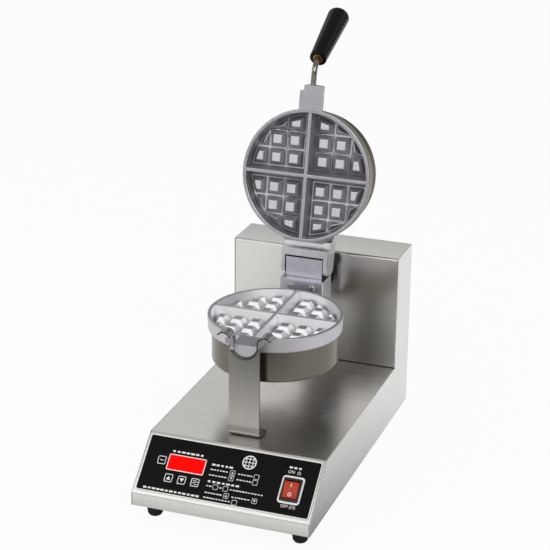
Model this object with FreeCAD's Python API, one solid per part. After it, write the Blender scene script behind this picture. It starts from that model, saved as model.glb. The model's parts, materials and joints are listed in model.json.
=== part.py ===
import FreeCAD, Part
import math
import os

# Round waffle baker with a turning pair of grids, lid open. Millimetres, X right, Y back, Z up.
# It is drawn with its front lip at y = 0 on a table at z = 0, and moved at the end so that the
# origin lies on the table under the middle of the whole object.

# Base and tower
BASE_WIDTH = 254.0
BASE_DEPTH = 457.0
FOOT_HEIGHT = 24.0
LIP_HEIGHT = 19.0
SLOPE_RUN = 67.0
SLOPE_RISE = 61.0
TOWER_FRONT = 386.0
TOWER_HEIGHT = 172.0
SHEET = 1.5
BEND = 2.0
SCREW_INTO_SHEET = 8.0
FLANGE = 12.0
UNDER_TOWER = 12.0

# Feet
FOOT_R = 11.0
FOOT_SOLE_R = 8.0
FOOT_X = 104.5
FOOT_INSET = 29.0
FOOT_RECESS_R = 4.6
FOOT_RECESS = 9.0
FOOT_TAPER = 8.0
FOOT_CHAMFER = 3.0
FOOT_CHAMFER_IN = 0.8

# Openings in the rear cover and the bottom plate
COVER_SCREW_X = 115.0
COVER_SCREW_HEIGHTS = (48.0, 155.0, 262.0)
LOUVRE_X = 50.0
LOUVRE_LENGTH = 70.0
LOUVRE_WIDTH = 5.0
LOUVRE_PITCH = 12.0
LOUVRE_ROWS = 6
LOUVRE_LOW = 176.0
VENT_X = 50.0
VENT_Y = 150.0
VENT_LENGTH = 60.0
VENT_WIDTH = 4.0
VENT_PITCH = 10.0
VENT_ROWS = 6
GLAND_X = -78.0
GLAND_Z = 62.0
GLAND_R = 8.0
GLAND_BORE_R = 4.0
GLAND_DEPTH = 8.0
GLAND_COLLAR = 4.0
GLAND_COLLAR_DEPTH = 3.0

# Plates
PLATE_Y = 215.0
PLATE_RISE = 136.0
PLATE_GAP = 0.4
CAST_R = 95.0
CAST_DEPTH = 22.0
CAST_BACK_R = 92.0
CAST_BACK_ROUND = 2.0
CAST_DRAFT = 0.9
CAST_RIM_ROUND = 1.0
CAST_RIM_IN = 0.3
CAVITY_R = 90.0
FLOOR_R = 85.6
CAVITY_DEPTH = 15.5
STUD_PITCH = 26.1
FIRST_STUD = 21.4
STUD_BASE = 23.6
STUD_TOP = 12.0
STUD_HEIGHT = 9.5
STUD_FIELD_R = 84.6
STUD_FIELD_TOP_R = 78.4
STUDS_EACH_WAY = 3
DIVIDER_BASE = 16.0
DIVIDER_TOP = 4.2
DIVIDER_RELIEF = 0.4
RIB_INTO_WALL = 1.0
SHELL_R = 88.8
SHELL_WALL = 1.2
SHELL_EDGE = 5.0
LOWER_SHELL_DEPTH = 67.5
UPPER_SHELL_DEPTH = 56.5

# Heating parts behind each grid
ELEMENT_RING_R = 58.0
ELEMENT_R = 4.0
ELEMENT_SWEEP = 325.0
TERMINAL_R = 2.5
TERMINAL_LENGTH = 14.0
TERMINAL_PLAY = 1.5
INSULATION_GAP = 0.5
INSULATION_HOLE = 2.0
CLAMP_R = 74.0
CLAMP_HOLE_R = 24.0
CLAMP_THICK = 3.0
SENSOR_R = 3.0
SENSOR_LENGTH = 26.0
SENSOR_OFFSET = 12.0
SHELL_BOLT_R = 4.0
SHELL_BOLT_INTO_CAST = 3.5
SHELL_NUT_R = 6.5
SHELL_NUT_HEIGHT = 6.0
SHELL_WASHER_R = 10.0
SHELL_WASHER = 1.5
SEAT_GAP = 0.1

# Front ears, cradle and bracket
EAR_R = 17.8
LOWER_EAR_REACH = 122.0
UPPER_EAR_REACH = 128.0
EAR_STEP_X = 12.0
EAR_STEP = 8.0
EAR_ROOT = 91.0
LUG_OUT = 24.5
LUG_IN = 12.6
LUG_ROOT_OUT = 17.4
LUG_FRONT = 130.3
LUG_BACK = 126.0
LUG_ROOT = 120.5
LUG_DEPTH = 5.5
LUG_UNDER = 2.8
LUG_PROUD = 9.8
CLIP_INNER_R = 18.4
CLIP_THICK = 1.9
CLIP_FRONT = 89.5
CLIP_WIDTH = 19.5
CLIP_LEG_TOP = 4.8
CURL_R = 9.0
CURL_END = 33.0
BRACKET_WIDTH = 44.0
BRACKET_FRONT = 92.0
BRACKET_THICK = 3.0
BRACKET_TOP_DROP = 5.5
BRACKET_FOOT = 29.0
BRACKET_SCREW_X = 12.0
BRACKET_SCREW_Y = 110.0
BRACKET_SCREW_LENGTH = 9.0
BRACKET_INNER_BEND = 1.0

# Hinge and turning shaft
OPEN_ANGLE = 101.0
PIN_Y = 341.5
PIN_RISE = 169.0
PIN_R = 3.0
PIN_HOLE_R = 3.06
BLOCK_HALF = 33.0
BLOCK_FRONT = 322.5
BLOCK_BACK = 362.0
BLOCK_TOP_DROP = 24.0
BLOCK_BOTTOM_DROP = 65.0
TONGUE_HALF = 28.3
TONGUE_FRONT = 6.5
TONGUE_RISE = 7.8
TONGUE_CROWN = 9.7
TONGUE_CROWN_FRONT = 3.4
TONGUE_CROWN_BACK = 2.0
TONGUE_INSET = 1.0
SHOULDER_FROM = 7.0
SHOULDER_TO = 19.0
SHOULDER_BACK = 6.0
BLOCK_CORNER = 1.5
PIN_PRESS_R = 3.02
PIN_INSET = 0.2
YOKE_HALF = 34.5
YOKE_SLOT_HALF = 28.8
WEB_INNER = 10.6
APRON_EDGE = 7.0
APRON_BACK = -8.2
WEB_OUTER = 18.5
ARM_END = 29.5
STOP_GAP = 0.3
ARM_FRONT = 4.0
YOKE_BACK = 28.0
LEG_TAIL = 19.0
BOSS_HALF = 32.0
BOSS_REACH = 97.0
BOSS_TOP = 16.0
BOSS_BOTTOM = 60.0
YOKE_BOLT_X = 20.0
YOKE_BOLT_BACK = 16.0
YOKE_BOLT_SEAT = 6.0
YOKE_BOLT_HEAD_R = 5.0
YOKE_BOLT_HEAD = 5.5
YOKE_BOLT_LENGTH = 21.5
YOKE_NOSE = -12.0
YOKE_CHIN = -5.0
YOKE_HEEL = 26.0
YOKE_HEEL_OUT = 10.0
YOKE_CHIN_ROUND = 7.0
YOKE_HEEL_ROUND = 9.0
REAR_ARM_HALF = 26.0
REAR_ARM_TOP = 11.0
REAR_ARM_BOTTOM = 29.0
CAST_CORNER = 4.0
ARM_HOLE_DEPTH = 10.0
YOKE_HOLE_DEPTH = 10.0
BOSS_ROOT = 80.8
SHELL_PLAY = 0.8
BLOCK_SCREW_X = 16.5
BLOCK_SCREW_DROP = 1.5
ARM_SCREW_DROP = 21.0
ARM_SCREW_INTO = 9.0
SHAFT_R = 14.0
SHAFT_BORE_R = 8.0
SHAFT_END = 420.0
SHAFT_FLANGE = 6.0
SHAFT_FLANGE_HALF = 30.0
SHAFT_FLANGE_DROP = 14.0
SHAFT_FLANGE_RISE = 9.0
BEARING_GAP = 0.06
BEARING_R = 20.0
BEARING_END = 408.0
BEARING_FLANGE_R = 30.0
BEARING_FLANGE = 3.0
BEARING_SCREW_R = 25.0
COLLAR_R = 22.0
COLLAR_WIDTH = 8.0
COLLAR_GAP = 0.4
BEARING_SCREW_LENGTH = 12.0
BRACE_PLAY = 0.1
BRACE_THICK = 4.0
BRACE_HALF = 70.0
BRACE_DROP = 45.0
BRACE_RISE = 30.0

# Handle, drawn on the closed lid
ROD_R = 4.0
ROD_DEPTH = 5.0
ROD_ROOT = 106.0
ROD_STRAIGHT = 143.4
ROD_BEND_R = 26.0
ROD_BEND = 55.0
ROD_IN_GRIP = 62.0
GRIP_LENGTH = 105.0
GRIP_START_R = 12.2
GRIP_END_R = 16.4
GRIP_EDGE = 7.0
GRIP_MOUTH_EDGE = 1.5
GRIP_PLAY = 0.05
GRIP_HOLE_SPARE = 0.5
FERRULE_PROUD = 0.4
FERRULE_R = 7.0
FERRULE_LENGTH = 5.0

# Control panel, x across and s up the slope from its lower edge
OVERLAY = 1.0
OVERLAY_HALF = 123.3
OVERLAY_LOW = 5.3
OVERLAY_HIGH = 87.0
OVERLAY_CORNER = 4.0
DISPLAY_X = -61.8
DISPLAY_S = 51.5
DISPLAY_WIDTH = 51.4
DISPLAY_HEIGHT = 20.6
KEY_SIZE = 12.2
KEY_GAP = 0.3
KEY_THICK = 0.6
KEY_PROUD = 0.15
KEY_ROW_S = 28.6
KEY_CORNER = 2.0
KEYS = {
    "key_clear": (-97.6, 51.9),
    "key_up": (-80.9, KEY_ROW_S),
    "key_down": (DISPLAY_X, KEY_ROW_S),
    "key_set": (-42.7, KEY_ROW_S),
}
DISPLAY_CORNER = 1.5
DISPLAY_LEDGE = 2.5
DISPLAY_PROUD = 0.2
PANEL_PLAY = 0.2
SWITCH_X = 90.0
SWITCH_S = 41.8
BEZEL_WIDTH = 26.0
BEZEL_HEIGHT = 33.0
BEZEL_PROUD = 2.2
SWITCH_BODY_WIDTH = 23.0
SWITCH_BODY_HEIGHT = 28.6
SWITCH_BODY_DEPTH = 24.0
SWITCH_POCKET_WIDTH = 20.8
SWITCH_POCKET_HEIGHT = 26.0
SWITCH_POCKET = 12.0
SWITCH_CORNER = 0.5
BEZEL_CORNER = 1.5
BEZEL_EDGE = 1.0
BLADE_WIDTH = 6.0
BLADE_THICK = 0.8
BLADE_LENGTH = 8.0
BLADE_PITCH = 8.0
ROCKER_WIDTH = 20.0
ROCKER_HALF = 11.2
ROCKER_PIVOT = -2.0
ROCKER_TILT = 8.0
ROCKER_CROWN = 5.0
ROCKER_DISH = 3.6
ROCKER_SKIRT = 0.5
ROCKER_NECK = 5.0
ROCKER_DEPTH = 6.0
BOARD_DROP = 10.0
BOARD_THICK = 1.6
BOARD_LEFT = -116.0
BOARD_RIGHT = 20.0
BOARD_LOW = 16.0
BOARD_HIGH = 74.0
BOARD_HOLE_INSET = 5.0
SPACER_R = 3.5
SPACER_BORE_R = 1.6
CHIP_WIDTH = 14.0
CHIP_HEIGHT = 12.0
CHIP_THICK = 5.0
CHIP_PITCH = 26.0
CHIP_INSET = 20.0
CHIP_S = 30.0
CHIPS = 4
DIGIT_MARGIN = 3.0

# Power parts in the base, each about the middle of its footprint
TRANSFORMER_X = -70.0
TRANSFORMER_Y = 250.0
CORE_HALF = 26.0
CORE_HALF_DEPTH = 22.0
CORE_HEIGHT = 41.5
COIL_HALF = 14.0
COIL_HALF_DEPTH = 34.0
COIL_LOW = 8.0
COIL_HIGH = 37.0
COIL_CORNER = 4.0
STRAP_HALF = 38.0
STRAP_HALF_DEPTH = 10.0
RELAY_X = 54.0
RELAY_Y = 256.0
RELAY_HALF = 14.0
RELAY_HALF_DEPTH = 16.0
RELAY_HEIGHT = 26.0
RELAY_CORNER = 2.0
TERMINAL_X = -70.0
TERMINAL_Y = 406.0
TERMINAL_HALF = 30.0
TERMINAL_HALF_DEPTH = 11.0
TERMINAL_BASE = 10.0
TERMINAL_WALL = 2.4
TERMINAL_WALL_TOP = 22.0
TERMINAL_WALLS = 4

# Fasteners: thread diameters, play round a thread, head height as a share of the thread
M4 = 4.0
M5 = 5.0
M6 = 6.0
SCREW_PLAY = 0.05
HEAD_HEIGHT = 0.6
HEAD_ROUND = 0.6

# Two places closer than this are one
NEAR = 1e-3

V = FreeCAD.Vector
X_AXIS = V(1, 0, 0)
Y_AXIS = V(0, 1, 0)
Z_AXIS = V(0, 0, 1)
HALF_WIDTH = BASE_WIDTH / 2
INNER_HALF = HALF_WIDTH - SHEET
BASE_BOTTOM = FOOT_HEIGHT
LIP_TOP = BASE_BOTTOM + LIP_HEIGHT
BASE_TOP = LIP_TOP + SLOPE_RISE
TOWER_TOP = BASE_TOP + TOWER_HEIGHT
PLATE_Z = BASE_TOP + PLATE_RISE
PIN_Z = BASE_TOP + PIN_RISE
FLOOR_IN = BASE_BOTTOM + SHEET
SLOPE_ANGLE = math.degrees(math.atan2(SLOPE_RISE, SLOPE_RUN))
LID_Z = PLATE_Z + PLATE_GAP


def box(x0, x1, y0, y1, z0, z1):
    return Part.makeBox(x1 - x0, y1 - y0, z1 - z0, V(x0, y0, z0))


def rod(radius, length, start, axis):
    return Part.makeCylinder(radius, length, start, axis)


def tube(radius, bore, length, start, axis):
    return rod(radius, length, start, axis).cut(rod(bore, length, start, axis))


def face_of(points):
    return Part.Face(Part.makePolygon(list(points) + [points[0]]))


def prism_x(points, x0, x1):
    """Solid whose outline is a list of (y, z) points."""
    return face_of([V(x0, y, z) for y, z in points]).extrude(V(x1 - x0, 0, 0))


def prism_y(points, y0, y1):
    """Solid whose outline is a list of (x, z) points."""
    return face_of([V(x, y0, z) for x, z in points]).extrude(V(0, y1 - y0, 0))


def turned(points):
    """Solid of revolution about Z from a closed outline of (r, z) points."""
    return face_of([V(r, 0, z) for r, z in points]).revolve(V(0, 0, 0), Z_AXIS, 360)


def joined(first, others):
    return first.multiFuse(list(others)).removeSplitter()


def rounded(shape, radius, wanted):
    """Fillets the edges that the test picks."""
    edges = [edge for edge in shape.Edges if wanted(edge)]
    return shape.makeFillet(radius, edges)


def along_x_at(y, z):
    """Test for a straight edge along X through the point (y, z)."""
    def test(edge):
        ends = [v.Point for v in edge.Vertexes]
        return len(ends) == 2 and all(abs(p.y - y) < NEAR and abs(p.z - z) < NEAR for p in ends)
    return test


def upright_edges(edge):
    ends = [v.Point for v in edge.Vertexes]
    if len(ends) != 2:
        return False
    return abs(ends[0].x - ends[1].x) < NEAR and abs(ends[0].y - ends[1].y) < NEAR


def bent_sheet(points, x0, x1):
    """Folded sheet whose outer face follows (y, z) points, with rounded bends."""
    normals = []
    for (y0, z0), (y1, z1) in zip(points, points[1:]):
        length = math.hypot(y1 - y0, z1 - z0)
        normals.append(((z1 - z0) / length, (y0 - y1) / length))
    inner = []
    for index, (y, z) in enumerate(points):
        before = normals[max(index - 1, 0)]
        after = normals[min(index, len(normals) - 1)]
        scale = SHEET / (1 + before[0] * after[0] + before[1] * after[1])
        inner.append((y + scale * (before[0] + after[0]), z + scale * (before[1] + after[1])))
    sheet = prism_x(points + inner[::-1], x0, x1)
    for outer_point, inner_point in list(zip(points, inner))[1:-1]:
        sheet = rounded(sheet, BEND + SHEET, along_x_at(*outer_point))
        sheet = rounded(sheet, BEND, along_x_at(*inner_point))
    return sheet


def slot_cutter(length, width, depth, middle, axis):
    """Round-ended slot along X, cut along the given axis and centred on a point."""
    start = middle - axis * (depth / 2)
    half = length / 2 - width / 2
    ends = [rod(width / 2, depth, start + V(side * half, 0, 0), axis) for side in (-1, 1)]
    across = axis.cross(X_AXIS) * width
    along = V(2 * half, 0, 0)
    corner = start - along / 2 - across / 2
    outline = [corner, corner + along, corner + along + across, corner + across]
    return joined(face_of(outline).extrude(axis * depth), ends)


def on_slope(shape):
    """Moves a shape drawn as (x, s, height) onto the sloped control face."""
    placed = shape.copy()
    placed.rotate(V(0, 0, 0), X_AXIS, SLOPE_ANGLE)
    placed.translate(V(0, 0, LIP_TOP))
    return placed


def on_lower(shape):
    """Moves a shape drawn about the middle of a rim plane to the lower plate."""
    return shape.translated(V(0, PLATE_Y, PLATE_Z))


def opened(shape):
    """Swings a shape of the closed lid up to the open stop."""
    placed = shape.copy()
    placed.rotate(V(0, PIN_Y, PIN_Z), X_AXIS, -OPEN_ANGLE)
    return placed


def on_lid(shape):
    """Turns a shape drawn about the middle of a rim plane over, and opens it with the lid."""
    placed = shape.copy()
    placed.rotate(V(0, 0, 0), Y_AXIS, 180)
    placed.translate(V(0, PLATE_Y, LID_Z))
    return opened(placed)


def screw_hole(thread, length, start, axis):
    return rod(thread / 2 + SCREW_PLAY, length, start, axis)


def pan_screw(thread, length, seat, axis):
    """Round-headed screw: the axis points out of the head, and the seat is under it."""
    height = thread * HEAD_HEIGHT

    def crown(edge):
        return abs((edge.CenterOfMass - seat).dot(axis) - height) < NEAR

    head = rounded(rod(thread, height, seat, axis), height * HEAD_ROUND, crown)
    return joined(head, [rod(thread / 2, length, seat - axis * length, axis)])


# Base and tower sheets
SIDE_OUTLINE = [(0, BASE_BOTTOM), (0, LIP_TOP), (SLOPE_RUN, BASE_TOP), (TOWER_FRONT, BASE_TOP),
                (TOWER_FRONT, TOWER_TOP), (BASE_DEPTH, TOWER_TOP), (BASE_DEPTH, BASE_BOTTOM)]
FOOT_PLACES = [(side * FOOT_X, y) for side in (-1, 1) for y in (FOOT_INSET, BASE_DEPTH - FOOT_INSET)]
DISPLAY_SIZE = (DISPLAY_WIDTH, DISPLAY_HEIGHT)
SWITCH_OPENING = (SWITCH_BODY_WIDTH + 2 * PANEL_PLAY, SWITCH_BODY_HEIGHT + 2 * PANEL_PLAY)


def slope_window(width, height, x, s, depth):
    return on_slope(box(x - width / 2, x + width / 2, s - height / 2, s + height / 2, -depth, depth))


def base_wrap():
    path = [(0, BASE_BOTTOM), (0, LIP_TOP), (SLOPE_RUN, BASE_TOP), (TOWER_FRONT + UNDER_TOWER, BASE_TOP)]
    sheet = bent_sheet(path, -INNER_HALF, INNER_HALF)
    width = DISPLAY_WIDTH - 2 * DISPLAY_LEDGE
    height = DISPLAY_HEIGHT - 2 * DISPLAY_LEDGE
    sheet = sheet.cut(slope_window(width, height, DISPLAY_X, DISPLAY_S, 2 * SHEET))
    sheet = sheet.cut(slope_window(*SWITCH_OPENING, SWITCH_X, SWITCH_S, 2 * SHEET))
    for side in (-1, 1):
        start = V(side * BRACKET_SCREW_X, BRACKET_SCREW_Y, BASE_TOP - 2 * SHEET)
        sheet = sheet.cut(screw_hole(M5, 4 * SHEET, start, Z_AXIS))
    return sheet


def side_panel(side):
    outer = side * HALF_WIDTH
    inner = side * INNER_HALF
    wall = prism_x(SIDE_OUTLINE, min(outer, inner), max(outer, inner))
    edge = side * (INNER_HALF - FLANGE)
    flange = box(min(inner, edge), max(inner, edge), FLANGE, BASE_DEPTH - FLANGE, FLOOR_IN, FLOOR_IN + SHEET)
    return joined(wall, [flange])


def tower_front_panel():
    path = [(TOWER_FRONT, BASE_TOP), (TOWER_FRONT, TOWER_TOP), (BASE_DEPTH - SHEET, TOWER_TOP)]
    sheet = bent_sheet(path, -INNER_HALF, INNER_HALF)
    front = TOWER_FRONT - SHEET
    sheet = sheet.cut(rod(BEARING_R + PANEL_PLAY, 4 * SHEET, V(0, front, PLATE_Z), Y_AXIS))
    for x, z in bearing_places():
        sheet = sheet.cut(screw_hole(M4, 4 * SHEET, V(x, front, z), Y_AXIS))
    return sheet


COVER_SCREWS = [(side * COVER_SCREW_X, z) for side in (-1, 1) for z in COVER_SCREW_HEIGHTS]


def rear_cover():
    back = BASE_DEPTH - SHEET
    cover = box(-INNER_HALF, INNER_HALF, back, BASE_DEPTH, FLOOR_IN, TOWER_TOP)
    middle_y = back + SHEET / 2
    for side in (-1, 1):
        for row in range(LOUVRE_ROWS):
            middle = V(side * LOUVRE_X, middle_y, LOUVRE_LOW + row * LOUVRE_PITCH)
            cover = cover.cut(slot_cutter(LOUVRE_LENGTH, LOUVRE_WIDTH, 4 * SHEET, middle, Y_AXIS))
    cover = cover.cut(rod(GLAND_R, 4 * SHEET, V(GLAND_X, back - SHEET, GLAND_Z), Y_AXIS))
    for x, z in COVER_SCREWS:
        cover = cover.cut(screw_hole(M4, 4 * SHEET, V(x, back - SHEET, z), Y_AXIS))
    return cover


def bottom_plate():
    plate = box(-INNER_HALF, INNER_HALF, SHEET, BASE_DEPTH, BASE_BOTTOM, FLOOR_IN)
    for side in (-1, 1):
        for row in range(VENT_ROWS):
            middle = V(side * VENT_X, VENT_Y + row * VENT_PITCH, BASE_BOTTOM + SHEET / 2)
            plate = plate.cut(slot_cutter(VENT_LENGTH, VENT_WIDTH, 4 * SHEET, middle, Z_AXIS))
    for x, y in FOOT_PLACES:
        plate = plate.cut(screw_hole(M4, 4 * SHEET, V(x, y, BASE_BOTTOM - SHEET), Z_AXIS))
    return plate


def foot(x, y):
    bore = M4 / 2 + SCREW_PLAY
    outline = [(bore, FOOT_RECESS), (FOOT_RECESS_R, FOOT_RECESS), (FOOT_RECESS_R, 0), (FOOT_SOLE_R, 0),
               (FOOT_R - FOOT_CHAMFER_IN, FOOT_CHAMFER), (FOOT_R, FOOT_TAPER), (FOOT_R, FOOT_HEIGHT),
               (bore, FOOT_HEIGHT)]
    return turned(outline).translated(V(x, y, 0))


def foot_screw(x, y):
    length = FOOT_HEIGHT - FOOT_RECESS + SCREW_INTO_SHEET
    return pan_screw(M4, length, V(x, y, FOOT_RECESS), -Z_AXIS)


def cord_gland():
    back = BASE_DEPTH - SHEET
    place = V(GLAND_X, back - GLAND_DEPTH, GLAND_Z)
    length = GLAND_DEPTH + SHEET
    body = rod(GLAND_R - SCREW_PLAY, length, place, Y_AXIS)
    seat = V(GLAND_X, back - GLAND_COLLAR_DEPTH, GLAND_Z)
    collar = rod(GLAND_R + GLAND_COLLAR, GLAND_COLLAR_DEPTH, seat, Y_AXIS)
    return joined(body, [collar]).cut(rod(GLAND_BORE_R, length, place, Y_AXIS))


def cover_screw(x, z):
    return pan_screw(M4, SCREW_INTO_SHEET, V(x, BASE_DEPTH, z), Y_AXIS)


# Control panel
def rounded_plate(width, height, x, s, low, high, corner):
    plate = box(x - width / 2, x + width / 2, s - height / 2, s + height / 2, low, high)
    return rounded(plate, corner, upright_edges)


def control_overlay():
    height = OVERLAY_HIGH - OVERLAY_LOW
    middle = (OVERLAY_HIGH + OVERLAY_LOW) / 2
    film = rounded_plate(2 * OVERLAY_HALF, height, 0, middle, 0, OVERLAY, OVERLAY_CORNER)
    hole = KEY_SIZE + 2 * KEY_GAP
    low = -OVERLAY
    high = 2 * OVERLAY
    for x, s in KEYS.values():
        film = film.cut(rounded_plate(hole, hole, x, s, low, high, KEY_CORNER + KEY_GAP))
    film = film.cut(rounded_plate(*DISPLAY_SIZE, DISPLAY_X, DISPLAY_S, low, high, DISPLAY_CORNER))
    film = film.cut(rounded_plate(*SWITCH_OPENING, SWITCH_X, SWITCH_S, low, high, SWITCH_CORNER))
    return on_slope(film)


def display_window():
    top = OVERLAY + DISPLAY_PROUD
    return on_slope(rounded_plate(*DISPLAY_SIZE, DISPLAY_X, DISPLAY_S, 0, top, DISPLAY_CORNER))


def key(x, s):
    top = OVERLAY + KEY_PROUD
    return on_slope(rounded_plate(KEY_SIZE, KEY_SIZE, x, s, top - KEY_THICK, top, KEY_CORNER))


def switch_plate(width, height, low, high, corner):
    return rounded_plate(width, height, SWITCH_X, SWITCH_S, low, high, corner)


def switch_bezel():
    top = OVERLAY + BEZEL_PROUD
    back = -SWITCH_BODY_DEPTH
    frame = switch_plate(BEZEL_WIDTH, BEZEL_HEIGHT, OVERLAY, top, BEZEL_CORNER)
    frame = rounded(frame, BEZEL_EDGE, lambda edge: abs(edge.BoundBox.ZMin - top) < NEAR)
    body = switch_plate(SWITCH_BODY_WIDTH, SWITCH_BODY_HEIGHT, back, OVERLAY, SWITCH_CORNER)
    x = SWITCH_X - BLADE_WIDTH / 2
    blades = []
    for step in (-1, 0, 1):
        s = SWITCH_S + step * BLADE_PITCH - BLADE_THICK / 2
        blades.append(box(x, x + BLADE_WIDTH, s, s + BLADE_THICK, back - BLADE_LENGTH, back))
    pocket = switch_plate(SWITCH_POCKET_WIDTH, SWITCH_POCKET_HEIGHT, -SWITCH_POCKET, 2 * top, SWITCH_CORNER)
    return on_slope(joined(frame, [body] + blades).cut(pocket))


def power_rocker():
    half = ROCKER_HALF
    outline = [(-half, ROCKER_CROWN), (0, ROCKER_DISH), (half, ROCKER_CROWN), (half, ROCKER_SKIRT),
               (ROCKER_NECK, -ROCKER_DEPTH), (-ROCKER_NECK, -ROCKER_DEPTH), (-half, ROCKER_SKIRT)]
    x0 = SWITCH_X - ROCKER_WIDTH / 2
    shape = prism_x([(SWITCH_S + s, n) for s, n in outline], x0, x0 + ROCKER_WIDTH)
    shape.rotate(V(0, SWITCH_S, ROCKER_PIVOT), X_AXIS, ROCKER_TILT)
    return on_slope(shape)


def control_board():
    back = -BOARD_DROP - BOARD_THICK
    board = box(BOARD_LEFT, BOARD_RIGHT, BOARD_LOW, BOARD_HIGH, back, -BOARD_DROP)
    chips = []
    for step in range(CHIPS):
        x = BOARD_LEFT + CHIP_INSET + step * CHIP_PITCH
        chips.append(box(x, x + CHIP_WIDTH, CHIP_S, CHIP_S + CHIP_HEIGHT, back - CHIP_THICK, back))
    return on_slope(joined(board, chips))


def board_spacers():
    spacers = []
    for x in (BOARD_LEFT + BOARD_HOLE_INSET, BOARD_RIGHT - BOARD_HOLE_INSET):
        for s in (BOARD_LOW + BOARD_HOLE_INSET, BOARD_HIGH - BOARD_HOLE_INSET):
            place = V(x, s, -BOARD_DROP)
            spacers.append(on_slope(tube(SPACER_R, SPACER_BORE_R, BOARD_DROP - SHEET, place, Z_AXIS)))
    return spacers


def display_module():
    half_width = DISPLAY_WIDTH / 2 - DIGIT_MARGIN
    half_height = DISPLAY_HEIGHT / 2 - DIGIT_MARGIN
    return on_slope(box(DISPLAY_X - half_width, DISPLAY_X + half_width, DISPLAY_S - half_height,
                        DISPLAY_S + half_height, -BOARD_DROP, -DISPLAY_PROUD))


def box_about(x, y, half_width, half_depth, low, high):
    return box(x - half_width, x + half_width, y - half_depth, y + half_depth, low, high)


def transformer():
    place = (TRANSFORMER_X, TRANSFORMER_Y)
    strap_top = FLOOR_IN + SHEET
    strap = box_about(*place, STRAP_HALF, STRAP_HALF_DEPTH, FLOOR_IN, strap_top)
    core = box_about(*place, CORE_HALF, CORE_HALF_DEPTH, strap_top, strap_top + CORE_HEIGHT)
    coil = box_about(*place, COIL_HALF, COIL_HALF_DEPTH, FLOOR_IN + COIL_LOW, FLOOR_IN + COIL_HIGH)
    return joined(core, [rounded(coil, COIL_CORNER, upright_edges), strap])


def power_relay():
    case = box_about(RELAY_X, RELAY_Y, RELAY_HALF, RELAY_HALF_DEPTH, FLOOR_IN, FLOOR_IN + RELAY_HEIGHT)
    return rounded(case, RELAY_CORNER, upright_edges)


def terminal_block():
    y = TERMINAL_Y
    depth = TERMINAL_HALF_DEPTH
    half_wall = TERMINAL_WALL / 2
    base_top = FLOOR_IN + TERMINAL_BASE
    wall_top = FLOOR_IN + TERMINAL_WALL_TOP
    base = box_about(TERMINAL_X, y, TERMINAL_HALF, depth, FLOOR_IN + SHEET, base_top)
    pitch = (2 * TERMINAL_HALF - TERMINAL_WALL) / (TERMINAL_WALLS - 1)
    walls = []
    for step in range(TERMINAL_WALLS):
        x = TERMINAL_X - TERMINAL_HALF + half_wall + step * pitch
        walls.append(box_about(x, y, half_wall, depth, base_top, wall_top))
    return joined(base, walls)


# Grids, drawn about the middle of the rim plane with the cavity up
def stud(x, y):
    wires = []
    for width, z in ((STUD_BASE, -CAVITY_DEPTH), (STUD_TOP, STUD_HEIGHT - CAVITY_DEPTH)):
        half = width / 2
        corners = [V(x + i * half, y + j * half, z) for i, j in ((-1, -1), (1, -1), (1, 1), (-1, 1))]
        wires.append(Part.makePolygon(corners + corners[:1]))
    return Part.makeLoft(wires, True, True)


def stud_places():
    steps = [FIRST_STUD + i * STUD_PITCH for i in range(STUDS_EACH_WAY)]
    places = []
    for x in steps:
        for y in steps:
            nearest = math.hypot(x - STUD_BASE / 2, y - STUD_BASE / 2)
            if nearest < STUD_FIELD_TOP_R:
                places += [(i * x, j * y) for i in (-1, 1) for j in (-1, 1)]
    return places


def waffle_casting():
    body = turned([(0, -CAST_DEPTH), (CAST_BACK_R, -CAST_DEPTH),
                   (CAST_R - CAST_RIM_IN - CAST_DRAFT, CAST_BACK_ROUND - CAST_DEPTH),
                   (CAST_R - CAST_RIM_IN, -CAST_RIM_ROUND), (CAST_R - CAST_RIM_ROUND, 0), (CAVITY_R, 0),
                   (FLOOR_R, -CAVITY_DEPTH), (0, -CAVITY_DEPTH)])
    half_base = DIVIDER_BASE / 2
    half_top = DIVIDER_TOP / 2
    section = [(-half_base, -CAVITY_DEPTH), (half_base, -CAVITY_DEPTH), (half_top, -DIVIDER_RELIEF),
               (-half_top, -DIVIDER_RELIEF)]
    divider = prism_y(section, -CAST_R, CAST_R)
    crossing = divider.copy()
    crossing.rotate(V(0, 0, 0), Z_AXIS, 90)
    floor = V(0, 0, -CAVITY_DEPTH)
    room = Part.makeCone(FLOOR_R + RIB_INTO_WALL, CAVITY_R + RIB_INTO_WALL, CAVITY_DEPTH, floor)
    field = Part.makeCone(STUD_FIELD_R, STUD_FIELD_TOP_R, STUD_HEIGHT, floor)
    ribs = divider.fuse(crossing).common(room)
    studs = [stud(x, y).common(field) for x, y in stud_places()]
    groove = Part.makeTorus(ELEMENT_RING_R, ELEMENT_R + SEAT_GAP, V(0, 0, -CAST_DEPTH))
    hole_depth = SHELL_BOLT_INTO_CAST + 5 * SEAT_GAP
    hole = rod(SHELL_BOLT_R + SEAT_GAP, hole_depth, V(0, 0, -CAST_DEPTH), Z_AXIS)
    return joined(body, [ribs] + studs).cut(groove).cut(hole)


def half_round_ear(reach):
    ear = rod(EAR_R, reach - EAR_ROOT, V(0, -reach, 0), Y_AXIS)
    return ear.common(box(-EAR_R, EAR_R, -reach, -EAR_ROOT, -EAR_R, 0))


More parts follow.
